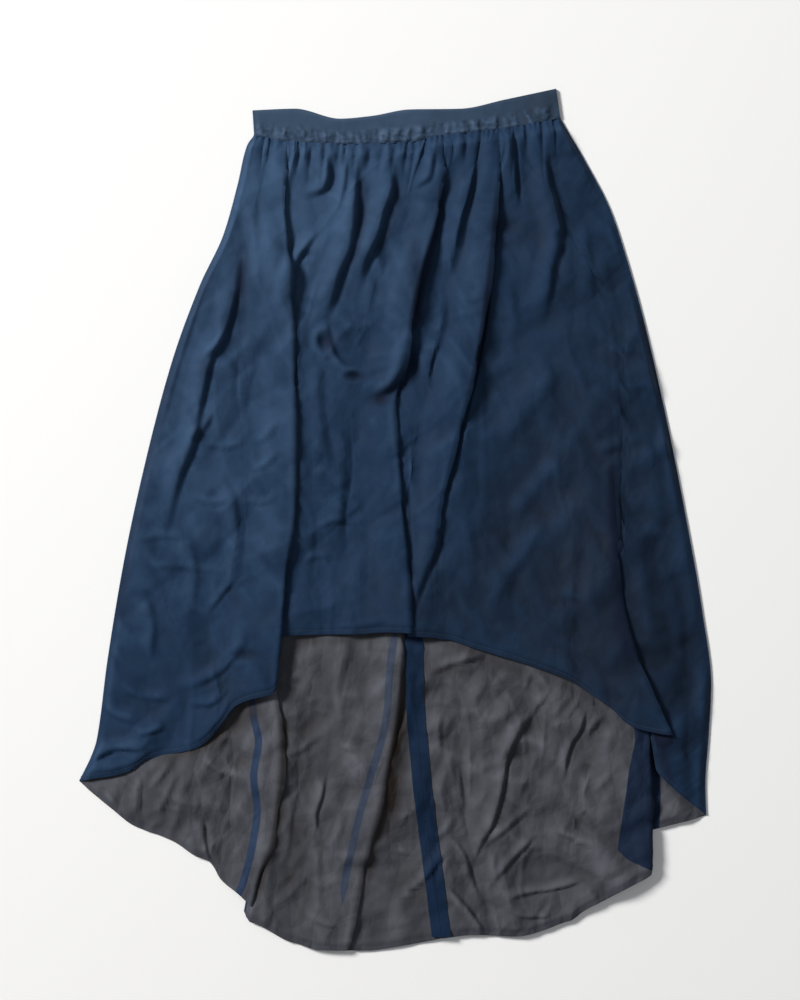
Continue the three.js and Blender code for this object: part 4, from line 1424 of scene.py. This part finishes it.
class Shader:
    """A material under construction."""

    def __init__(self, name: str) -> None:
        """Start an empty material.

        Args:
            name: The material's name.
        """
        self.material = bpy.data.materials.new(name)
        self.material.use_nodes = True
        self.tree = self.material.node_tree
        self.tree.nodes.clear()

    def node(self, kind: str, settings: dict | None = None, values: dict | None = None) -> bpy.types.Node:
        """Add a node.

        Args:
            kind: The node's type.
            settings: Its own settings, set first.
            values: Numbers, colours or wires of its sockets, by name or number.

        Returns:
            The node.
        """
        node = self.tree.nodes.new(kind)
        for key, value in (settings or {}).items():
            setattr(node, key, value)
        for key, value in (values or {}).items():
            if isinstance(value, Wire):
                self.tree.links.new(value.socket, node.inputs[key])
            else:
                node.inputs[key].default_value = value
        return node

    def wire(
        self, kind: str, output: int | str, settings: dict | None = None, values: dict | None = None
    ) -> Wire:
        """Add a node and take one of its outputs."""
        return Wire(self, self.node(kind, settings, values).outputs[output])

    def finished(self, values: dict) -> bpy.types.Material:
        """Close the material with one surface.

        Args:
            values: Numbers, colours or wires of the surface's sockets, by name.

        Returns:
            The finished material.
        """
        surface = self.wire("ShaderNodeBsdfPrincipled", 0, None, values)
        self.node("ShaderNodeOutputMaterial", None, {0: surface})
        return self.material

    def attribute(self, name: str) -> Wire:
        """A value painted on the mesh."""
        return self.wire("ShaderNodeAttribute", "Fac", {"attribute_name": name})

    def blend(self, share: "Wire | float", first: "Wire | tuple", second: "Wire | tuple") -> Wire:
        """Mix two colours, by the share of the second."""
        return self.wire("ShaderNodeMix", 2, {"data_type": "RGBA"}, {0: share, 6: first, 7: second})

    def vector(self, operation: str, first: Wire, second: "Wire | tuple[float, float, float]") -> Wire:
        """Add one Vector Math node."""
        return self.wire("ShaderNodeVectorMath", 0, {"operation": operation}, {0: first, 1: second})

    def warped(self, at: Wire, scale: float, amount: float) -> Wire:
        """Flat places pushed about by noise.

        Args:
            at: Flat places on the cloth.
            scale: How close the pushes follow each other.
            amount: The largest push, in metres.

        Returns:
            The pushed places.
        """
        push = self.wire("ShaderNodeTexNoise", 1, None, {"Vector": at, "Scale": scale, "Detail": 2.0})
        centred = self.vector("SUBTRACT", push, (0.5, 0.5, 0.5))
        return self.vector("ADD", at, self.vector("MULTIPLY", centred, (2 * amount, 2 * amount, 0.0)))

    def facets(self, at: Wire, scale: float, stretch: float) -> Wire:
        """Flat facets that meet at straight creases, from 0 at the creases between them upwards.

        Args:
            at: Flat places on the cloth.
            scale: How many facets a metre holds across.
            stretch: How long the facets are for their width.

        Returns:
            The distance to the nearest crease, in facets.
        """
        squeezed = self.vector("MULTIPLY", at, (1.0, 1 / stretch, 1.0))
        settings = {"feature": "DISTANCE_TO_EDGE", "voronoi_dimensions": "2D"}
        return self.wire("ShaderNodeTexVoronoi", 0, settings, {"Vector": squeezed, "Scale": scale})

    def noise(self, at: Wire, scale: float, detail: float, rough: float = 0.5, warp: float = 0.0) -> Wire:
        """Noise over the cloth's flat places."""
        values = {"Vector": at, "Scale": scale, "Detail": detail, "Roughness": rough, "Distortion": warp}
        return self.wire("ShaderNodeTexNoise", 0, None, values)


def colour(red: int, green: int, blue: int) -> tuple[float, float, float, float]:
    """A display colour as a linear one.

    Args:
        red: Red from 0 to 255.
        green: Green from 0 to 255.
        blue: Blue from 0 to 255.

    Returns:
        The linear colour with full alpha.
    """
    def linear(value: int) -> float:
        """One channel."""
        share = value / 255
        return share / 12.92 if share <= 0.04045 else ((share + 0.055) / 1.055) ** 2.4

    return (linear(red), linear(green), linear(blue), 1.0)


Colour = tuple[float, float, float, float]


@dataclass(frozen=True)
class ClothFinish:
    """The finish of one kind of cloth."""

    name: str
    plain: Colour
    # Lighter and darker ends of the colour, for random mottle and streaks and for painted light and shade
    bright: Colour
    dull: Colour
    outside: Colour
    # Colour of the painted shade that the shade patches and lines blend in
    painted_shade: Colour = colour(30, 30, 36)
    doubled_light: Colour = colour(46, 62, 90)
    doubled_dark: Colour = colour(12, 34, 60)
    mottle_scale: float = 16.0
    streak_scale: float = 70.0
    thread_pitch: float = 0.0007
    strip_edge: float = 1.2
    area_edge: float = 1.0
    area_tone: float = 0.95
    doubles: bool = False
    crinkle: float = 0.0017
    # How strongly the painted light on crests and painted shade in hollows change the colour
    relief_shade: float = 0.28
    roughness: float = 0.78
    specular: float = 0.2
    sheen: float = 0.08
    sheen_roughness: float = 0.5
    sheen_tint: Colour = colour(150, 170, 200)

    def material(self) -> bpy.types.Material:
        """Build the material.

        Returns:
            The finished material.
        """
        shader = Shader(self.name)
        at = shader.wire("ShaderNodeUVMap", 0, {"uv_map": "cloth"})
        mottle = shader.noise(at, self.mottle_scale, 3, 0.55)
        streak = shader.noise(at, self.streak_scale, 2, 0.5, 0.6)
        # Mottle and streaks are random tone; the tone attribute adds painted light and shade
        lift = (mottle - 0.5) * 0.5 + (streak - 0.5) * 0.35 + shader.attribute("tone")
        # Painted light on crests and painted shade in hollows
        lift = lift + shader.attribute("relief_shade") * self.relief_shade
        base = shader.blend(lift.clamped(), self.plain, self.bright)
        base = shader.blend((lift * -1.0).clamped(), base, self.dull)
        if self.doubles:
            strip = (shader.attribute("strip_inset") / self.strip_edge + 0.5).clamped()
            base = shader.blend(strip * shader.attribute("strip_tone"), base, self.doubled_light)
            area = (shader.attribute("doubled_inset") / self.area_edge + 0.5).clamped()
            base = shader.blend(area * self.area_tone, base, self.doubled_dark)
        # Painted shade from the shade patches and lines
        base = shader.blend(shader.attribute("painted_shade").clamped(), base, self.painted_shade)
        base = shader.blend(shader.attribute("below"), base, self.outside)
        weave = self.weave(shader, at)
        base = shader.blend((0.5 - weave) * 0.16, base, self.dull)
        roughness = self.roughness + (mottle - 0.5) * 0.16 + (weave - 0.5) * 0.06
        return shader.finished({
            "Base Color": base,
            "Roughness": roughness,
            "Normal": self.relief(shader, at, weave),
            "Specular IOR Level": self.specular,
            "Sheen Weight": self.sheen,
            "Sheen Roughness": self.sheen_roughness,
            "Sheen Tint": self.sheen_tint,
        })

    def weave(self, shader: Shader, at: Wire) -> Wire:
        """Plain weave.

        Args:
            shader: The material under construction.
            at: Flat places on the cloth.

        Returns:
            Values from 0 between the threads to 1 on them.
        """
        turn = 2 * math.pi / self.thread_pitch
        parts = shader.node("ShaderNodeSeparateXYZ", None, {0: at})
        warp = (Wire(shader, parts.outputs[0]) * turn).sine()
        weft = (Wire(shader, parts.outputs[1]) * turn).sine()
        return warp * weft * 0.5 + 0.5

    def relief(self, shader: Shader, at: Wire, weave: Wire) -> Wire:
        """Bump of the weave and of the fine crinkles between the modelled folds.

        Args:
            shader: The material under construction.
            at: Flat places on the cloth.
            weave: The weave.

        Returns:
            The bent normal.
        """
        slubs = shader.noise(at, 260, 3, 0.6)
        threads = {"Strength": 0.25, "Distance": 0.0002, "Height": weave + slubs}
        fine = shader.wire("ShaderNodeBump", 0, None, threads)
        broad = shader.facets(shader.warped(at, 16, 0.008), 24, 1.5)
        middle = shader.facets(shader.warped(at, 30, 0.004), 52, 1.2)
        share = shader.noise(at, 11, 2, 0.5) * 2.4 - 0.3
        height = (broad + middle * 0.4) * share
        crinkles = {"Strength": 1.0, "Distance": self.crinkle, "Height": height, "Normal": fine}
        return shader.wire("ShaderNodeBump", 0, None, crinkles)


NAVY = ClothFinish(
    "navy_cloth", colour(19, 45, 73), colour(50, 76, 106), colour(8, 24, 43), colour(24, 45, 72),
    painted_shade=colour(0, 13, 37),
)
INSIDE = ClothFinish(
    "cloth_inside", colour(66, 68, 75), colour(90, 92, 100), colour(50, 48, 50), colour(24, 45, 72),
    painted_shade=colour(36, 30, 26), doubled_light=colour(27, 46, 74),
    doubled_dark=colour(0, 25, 52), crinkle=0.0042, relief_shade=0.5, doubles=True,
)
DOUBLED = ClothFinish(
    "doubled_cloth", colour(3, 29, 56), colour(14, 43, 72), colour(4, 19, 38), colour(16, 38, 66),
    crinkle=0.002,
)
BAND = ClothFinish(
    "waistband_cloth", colour(48, 68, 92), colour(74, 94, 118), colour(32, 44, 58), colour(40, 58, 80),
    crinkle=0.0008, relief_shade=0.45,
)


@dataclass(frozen=True)
class ThreadFinish:
    """Tonal sewing thread."""

    name: str = "sewing_thread"

    def material(self) -> bpy.types.Material:
        """Build the material.

        Returns:
            The finished material.
        """
        shader = Shader(self.name)
        at = shader.wire("ShaderNodeTexCoord", "Object")
        twist = shader.noise(at, 900, 2)
        base = shader.blend(twist, colour(34, 48, 70), colour(66, 84, 108))
        return shader.finished({"Base Color": base, "Roughness": twist * 0.3 + 0.5})


STITCH_NODES = {
    "source": "NodeGroupInput", "curve": "GeometryNodeMeshToCurve", "spaced": "GeometryNodeResampleCurve",
    "tangent": "GeometryNodeInputTangent", "turn": "FunctionNodeAlignRotationToVector",
    "stitch": "GeometryNodeMeshIcoSphere", "size": "ShaderNodeCombineXYZ",
    "shaped": "GeometryNodeTransform", "placed": "GeometryNodeInstanceOnPoints",
    "real": "GeometryNodeRealizeInstances", "dressed": "GeometryNodeSetMaterial",
    "result": "NodeGroupOutput",
}
STITCH_LINKS = (
    ("source", "Geometry", "curve", "Mesh"), ("curve", "Curve", "spaced", "Curve"),
    ("source", "Pitch", "spaced", "Length"), ("spaced", "Curve", "placed", "Points"),
    ("tangent", "Tangent", "turn", "Vector"), ("turn", "Rotation", "placed", "Rotation"),
    ("source", "Length", "size", 0), ("source", "Width", "size", 1), ("source", "Width", "size", 2),
    ("stitch", "Mesh", "shaped", "Geometry"), ("size", "Vector", "shaped", "Scale"),
    ("shaped", "Geometry", "placed", "Instance"), ("placed", "Instances", "real", "Geometry"),
    ("real", "Geometry", "dressed", "Geometry"), ("dressed", "Geometry", "result", "Geometry"),
)


@dataclass(frozen=True)
class Stitches:
    """A row of straight stitches along a path, made by one Geometry Nodes tree."""

    pitch: float = 0.0028
    length: float = 0.0019
    width: float = 0.0005

    def tree(self, material: bpy.types.Material) -> bpy.types.NodeTree:
        """Build the tree: a path in, realised stitches out.

        Args:
            material: The thread.

        Returns:
            The node tree, with named inputs for its sizes.
        """
        tree = bpy.data.node_groups.new("stitch_row", "GeometryNodeTree")
        tree.interface.new_socket("Geometry", in_out="INPUT", socket_type="NodeSocketGeometry")
        for name in ("Pitch", "Length", "Width"):
            tree.interface.new_socket(name, in_out="INPUT", socket_type="NodeSocketFloat")
        tree.interface.new_socket("Geometry", in_out="OUTPUT", socket_type="NodeSocketGeometry")
        nodes = {key: tree.nodes.new(kind) for key, kind in STITCH_NODES.items()}
        nodes["spaced"].mode = "LENGTH"
        nodes["turn"].axis = "X"
        nodes["stitch"].inputs["Radius"].default_value = 0.5
        nodes["stitch"].inputs["Subdivisions"].default_value = 1
        nodes["dressed"].inputs["Material"].default_value = material
        for start, output, end, socket in STITCH_LINKS:
            tree.links.new(nodes[start].outputs[output], nodes[end].inputs[socket])
        return tree

    def along(self, name: str, path: Array, tree: bpy.types.NodeTree) -> bpy.types.Object:
        """Sew along a path.

        Args:
            name: Name of the piece.
            path: Points of the path, in millimetres.
            tree: The stitch tree.

        Returns:
            The stitches as one plain mesh.
        """
        line = bpy.data.meshes.new(name + "_path")
        line.from_pydata((path * MM).tolist(), [(i, i + 1) for i in range(len(path) - 1)], [])
        carrier = linked(name + "_path", line)
        modifier = carrier.modifiers.new("stitch_row", "NODES")
        modifier.node_group = tree
        sizes = {"Pitch": self.pitch, "Length": self.length, "Width": self.width}
        for item in tree.interface.items_tree:
            if item.in_out == "INPUT" and item.name in sizes:
                modifier[item.identifier] = sizes[item.name]
        graph = bpy.context.evaluated_depsgraph_get()
        mesh = bpy.data.meshes.new_from_object(carrier.evaluated_get(graph))
        mesh.name = name
        bpy.data.objects.remove(carrier)
        log.info("%s: %d faces", name, len(mesh.polygons))
        return linked(name, mesh)


def row_at_hem(sheet: Sheet, inset: float, lift: float) -> Array:
    """Points along a sheet at some distance up from its hem.

    Args:
        sheet: The laid-out cloth.
        inset: Distance from the hem.
        lift: How far the points stand off the cloth.

    Returns:
        The points, from left to right.
    """
    columns = sheet.upper.shape[1]
    points = np.zeros((columns, 3))
    for index in range(columns):
        line = sheet.upper[::-1, index] + lift * sheet.normals[::-1, index]
        level = line[0, 1] + inset
        for axis in range(3):
            points[index, axis] = np.interp(level, line[:, 1], line[:, axis])
    return points


@dataclass
class FrontPanel:
    """The front: one gathered panel with four long tucks, its hem short in the middle."""

    spans: tuple[int, ...] = (56, 100, 26, 44, 26)
    steps: tuple[int, ...] = (4, 4, 4, 3, 3, 2, 3, 2, 2, 1)
    rows: int = 217

    def build(self) -> tuple[bpy.types.Object, Sheet]:
        """Make the cloth.

        Returns:
            The piece and its laid-out cloth.
        """
        panel = Panel(
            "front_cloth",
            Rails(left_edge, front_tucks, right_edge),
            FRONT_HEM,
            self.spans,
            self.steps,
            row_shares(self.rows, top=1.4, hem=1.0),
            front_ground,
            front_relief,
            lambda x, depth: gather_height(front_marks, front_lengths, x, depth, at_seam=2.6, below=5.6),
            seam_dip=2.4,
            seam_lap=1.6,
        )
        sheet = panel.sheet()
        attributes = {
            # Painted light and shade of the front
            "tone": painted(FRONT_LIGHT_AND_SHADE),
            # Painted shade from patches and soft lines
            "painted_shade": painted(FRONT_SHADE_PATCHES, FRONT_SHADE_LINES),
        }
        return cloth_object(panel.name, sheet, attributes), sheet


@dataclass
class BackPanels:
    """The back: two panels joined at the centre, whose inside shows below the front hem."""

    left_spans: tuple[int, ...] = (60, 28, 12)
    right_spans: tuple[int, ...] = (112, 24)
    steps: tuple[int, ...] = (4, 4, 4, 3, 3, 3, 3, 2, 2, 2)
    rows: int = 261
    row_power: float = 0.8
    seam_inset: float = 0.05

    def build(self) -> list[tuple[bpy.types.Object, Sheet]]:
        """Make both panels.

        Returns:
            The left and the right piece, each with its laid-out cloth.
        """
        shares = row_shares(self.rows, top=0.0, hem=1.6) ** self.row_power
        left = Rails(left_edge, back_tucks[:2], lambda y: back_seam(y) - self.seam_inset)
        right = Rails(lambda y: back_seam(y) + self.seam_inset, back_tucks[2:], right_edge)
        rows = (
            ("back_cloth_left", left, BACK_LEFT_HEM, self.left_spans),
            ("back_cloth_right", right, BACK_RIGHT_HEM, self.right_spans),
        )
        attributes = {
            "strip_inset": lambda x, y: strip_inset(BACK_STRIPS, x, y),
            "strip_tone": lambda x, y: strip_tone(BACK_STRIPS, x, y),
            "doubled_inset": lambda x, y: area_inset(BACK_DOUBLED, x, y),
            # Painted shade from patches and soft lines
            "painted_shade": painted(BACK_SHADE_PATCHES, BACK_SHADE_LINES),
        }
        pieces = []
        for name, rails, hem, spans in rows:
            panel = Panel(name, rails, hem, spans, self.steps, shares, no_ground, back_height, self.gathers)
            sheet = panel.sheet()
            pieces.append((cloth_object(name, sheet, attributes), sheet))
        return pieces

    @staticmethod
    def gathers(x: Array, depth: Array) -> Array:
        """Low gathers of the back, none beside the centre seam.

        Args:
            x: Place along the seam that each point hangs from.
            depth: Depth of each point under the seam.

        Returns:
            The height at each point.
        """
        clear = smooth((np.abs(x - float(back_seam(SEAM_LEVEL))) - ALLOWANCE_WIDTH) / 12)
        side = smooth(np.minimum(x - left_end, right_end - x) / 20)
        return clear * side * gather_height(back_marks, back_lengths, x, depth, at_seam=0.4, below=1.2)


@dataclass
class SeamAllowances:
    """The two strips pressed open along the centre back seam, seen on the inside."""

    columns: int = 9
    rows: int = 321
    top: float = 447.0
    hem: float = -499.0
    wall: float = 0.5
    gap: float = 0.25
    probes: Path = ((0, 0), (1.4, 0), (-1.4, 0), (0, 1.6), (0, -1.6), (1.4, 1.6), (-1.4, -1.6))

    def build(self) -> list[bpy.types.Object]:
        """Make the left and the right strip."""
        return [self.strip("allowance_cloth_left", -1), self.strip("allowance_cloth_right", 1)]

    def strip(self, name: str, side: int) -> bpy.types.Object:
        """One strip.

        Args:
            name: Name of the piece.
            side: -1 for the left strip and 1 for the right one.

        Returns:
            The piece.
        """
        y = np.linspace(self.top, self.hem, self.rows)[:, None] * np.ones((1, self.columns))
        share = np.linspace(0, 1, self.columns)[None, :]
        share = 1 - share if side < 0 else share
        ravel = 0.5 * Noise(71 + side)(y / 13, np.full_like(y, 0.5)) * (share > 0.99)
        x = back_seam(y) + side * (0.12 + ALLOWANCE_WIDTH * share + ravel)
        around = [back_height(x + across, y + along) for across, along in self.probes]
        height = np.maximum.reduce(around) + WALL + self.gap
        upper = np.stack([x, y, height + self.wall], axis=2)
        lower = np.stack([x, y, height], axis=2)
        # The strip's crests are painted lighter and its hollows darker
        return cloth_object(name, Sheet.of(upper, lower, x, y, relief_shade_of(upper, 2.4)), {})


@dataclass
class Waistband:
    """The flat tube that the panels are gathered onto, crinkled along its lower half."""

    columns: int = 321
    rows: int = 41
    left: tuple[float, float] = (-169.0, -167.0)
    right: tuple[float, float] = (195.0, 200.0)
    wall: float = 0.9
    puff: float = 1.4
    crush_share: float = 1.5
    drift_share: float = 0.8
    pit_length: float = 400.0
    pit_depth: float = 30.0
    pit_height: float = 1.3
    seam_dip: float = 1.2

    def grid(self) -> tuple[Array, Array, Array, Array]:
        """Places over the band.

        Returns:
            The x and y of each place, and its shares along and across the band.
        """
        along = np.linspace(0, 1, self.columns)[None, :] * np.ones((self.rows, 1))
        across = np.linspace(0, 1, self.rows)[:, None] * np.ones((1, self.columns))
        x = mix(mix(self.left[0], self.left[1], across), mix(self.right[0], self.right[1], across), along)
        y = mix(band_top(x), seam_height(x), across)
        return x, y, along, across

    def build(self) -> tuple[bpy.types.Object, bpy.types.Object, Sheet]:
        """Make the front and the back half of the band.

        Returns:
            The front piece, the back piece and the front's laid-out cloth.
        """
        x, y, along, across = self.grid()
        ends = smooth(np.minimum(along, 1 - along) / 0.02)
        rolled = np.sqrt(clamp01(1 - (1 - clamp01(across / 0.1)) ** 2))
        crinkled = smooth((across - 0.42) / 0.3)
        crush, drift = Crumple(5, BAND_CRUSH), Crumple(9, BAND_DRIFT)
        lengths, depth = np.full_like(front_lengths, self.pit_length), np.full_like(x, self.pit_depth)
        pits = gather_height(front_marks, lengths, x, depth, at_seam=0, below=self.pit_height)
        crinkles = self.crush_share * crush(x, y) + pits - 0.2
        height = self.puff * rolled + ends * (drift(x, y) * self.drift_share + crinkled * crinkles)
        height -= self.seam_dip * smooth((across - 0.9) / 0.1)
        height = np.maximum(height, 0.1) * mix(0.3, 1, ends)
        floor = BAND_WALL + SEAM_GAP
        upper = np.stack([x, y, floor + self.wall + height], axis=2)
        lower = np.stack([x, y, np.full_like(x, floor)], axis=2)
        # The front half's crests are painted lighter and its hollows darker; the back half gets none
        front_sheet = Sheet.of(upper, lower, x, y, relief_shade_of(upper, 0.7))
        back_upper = np.stack([x, y, np.full_like(x, BAND_WALL - 0.1)], axis=2)
        back_lower = np.stack([x, y, 0.5 * (1 - rolled) * np.ones_like(x)], axis=2)
        back_sheet = Sheet.of(back_upper, back_lower, x, y, np.zeros_like(x))
        # Painted light and shade on both halves of the band
        attributes = {"tone": painted(BAND_LIGHT_AND_SHADE)}
        front = cloth_object("band_cloth_front", front_sheet, attributes)
        back = cloth_object("band_cloth_back", back_sheet, attributes)
        return front, back, front_sheet


@dataclass
class Studio:
    """A pale floor, soft light from the upper left and a camera straight above."""

    distance: float = 2.5
    centre: tuple[float, float] = (0.0078, 0.024)
    lens: float = 50.0
    sensor: float = 24.0
    floor_size: float = 12.0
    floor_level: float = -0.0004
    sky: float = 0.17

    def build(self) -> None:
        """Set the scene around the skirt."""
        self.floor()
        self.camera()
        self.lamp("key", (-6.0, 3.9, 4.7), 2.2, 990, (1.0, 0.985, 0.96))
        self.lamp("fill", (0.9, 0.2, 3.2), 2.0, 12, (0.95, 0.975, 1.0))
        world = bpy.data.worlds.new("studio")
        world.use_nodes = True
        background = world.node_tree.nodes["Background"]
        background.inputs["Color"].default_value = (0.93, 0.96, 1.0, 1.0)
        background.inputs["Strength"].default_value = self.sky
        bpy.context.scene.world = world
        bpy.context.scene.view_settings.view_transform = "Standard"

    def floor(self) -> None:
        """Lay the floor."""
        half = self.floor_size / 2
        mesh = bpy.data.meshes.new("floor")
        corners = [(-half, -half), (half, -half), (half, half), (-half, half)]
        mesh.from_pydata([(x, y, self.floor_level) for x, y in corners], [], [(0, 1, 2, 3)])
        finish = {"Base Color": (0.93, 0.93, 0.93, 1.0), "Roughness": 0.9}
        mesh.materials.append(Shader("pale_floor").finished(finish))
        linked("floor", mesh)

    def camera(self) -> None:
        """Hang the camera over the skirt."""
        data = bpy.data.cameras.new("camera")
        data.lens = self.lens
        data.sensor_fit = "VERTICAL"
        data.sensor_height = self.sensor
        camera = linked("camera", data)
        camera.location = (*self.centre, self.distance)
        bpy.context.scene.camera = camera

    @staticmethod
    def lamp(name: str, place: tuple[float, float, float], size: float, power: float, tint: tuple) -> None:
        """Hang one soft lamp that faces the skirt.

        Args:
            name: Name of the lamp.
            place: Where it hangs.
            size: Width of its square face.
            power: Its power in watts.
            tint: Its colour.
        """
        data = bpy.data.lights.new(name, "AREA")
        data.size = size
        data.energy = power
        data.color = tint
        lamp = linked(name, data)
        x, y, z = place
        lamp.location = place
        lamp.rotation_euler = (math.atan2(math.hypot(x, y), z), 0.0, math.atan2(-x, y) + math.pi)


def place(piece: bpy.types.Object, slot: Slot, material: bpy.types.Material, node: str | None = None) -> None:
    """Dress a piece, tie it to the part and hide the CAD node that it stands for.

    Args:
        piece: The piece.
        slot: Not used.
        material: Its material.
        node: The CAD node that it stands for.
    """
    if not piece.data.materials:
        piece.data.materials.append(material)
    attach(piece, BODY)
    if node:
        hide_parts(node)


def main() -> None:
    """Build the skirt and the studio."""
    materials = {finish.name: finish.material() for finish in (NAVY, INSIDE, DOUBLED, BAND)}
    front, front_sheet = FrontPanel().build()
    (left, left_sheet), (right, right_sheet) = BackPanels().build()
    allowances = SeamAllowances().build()
    band_front, band_back, band_sheet = Waistband().build()
    thread = ThreadFinish().material()
    stitches = Stitches()
    tree = stitches.tree(thread)
    hems = (
        ("front_hem_stitches", front_sheet), ("back_hem_stitches_left", left_sheet),
        ("back_hem_stitches_right", right_sheet),
    )
    front_sewing, left_sewing, right_sewing = (
        stitches.along(name, row_at_hem(sheet, HEM_STITCHES, THREAD_LIFT), tree) for name, sheet in hems
    )
    band_path = band_sheet.upper[-3] + np.array([0, 0, THREAD_LIFT])
    band_sewing = stitches.along("waist_seam_stitches", band_path, tree)

    cloths = (
        (front, Slot.NAVY, "front_panel"),
        (left, Slot.INSIDE, "back_panel_left"),
        (right, Slot.INSIDE, "back_panel_right"),
        (allowances[0], Slot.DOUBLED, "seam_allowance_left"),
        (allowances[1], Slot.DOUBLED, "seam_allowance_right"),
        (band_front, Slot.BAND, "waistband_front"),
        (band_back, Slot.BAND, "waistband_back"),
    )
    for piece, slot, node in cloths:
        place(piece, slot, materials[slot.value], node)
    sewing = (
        (front_sewing, Slot.NAVY), (left_sewing, Slot.INSIDE), (right_sewing, Slot.INSIDE),
        (band_sewing, Slot.BAND),
    )
    for piece, slot in sewing:
        place(piece, slot, thread)

    Studio().build()


if __name__ == "__main__":
    main()
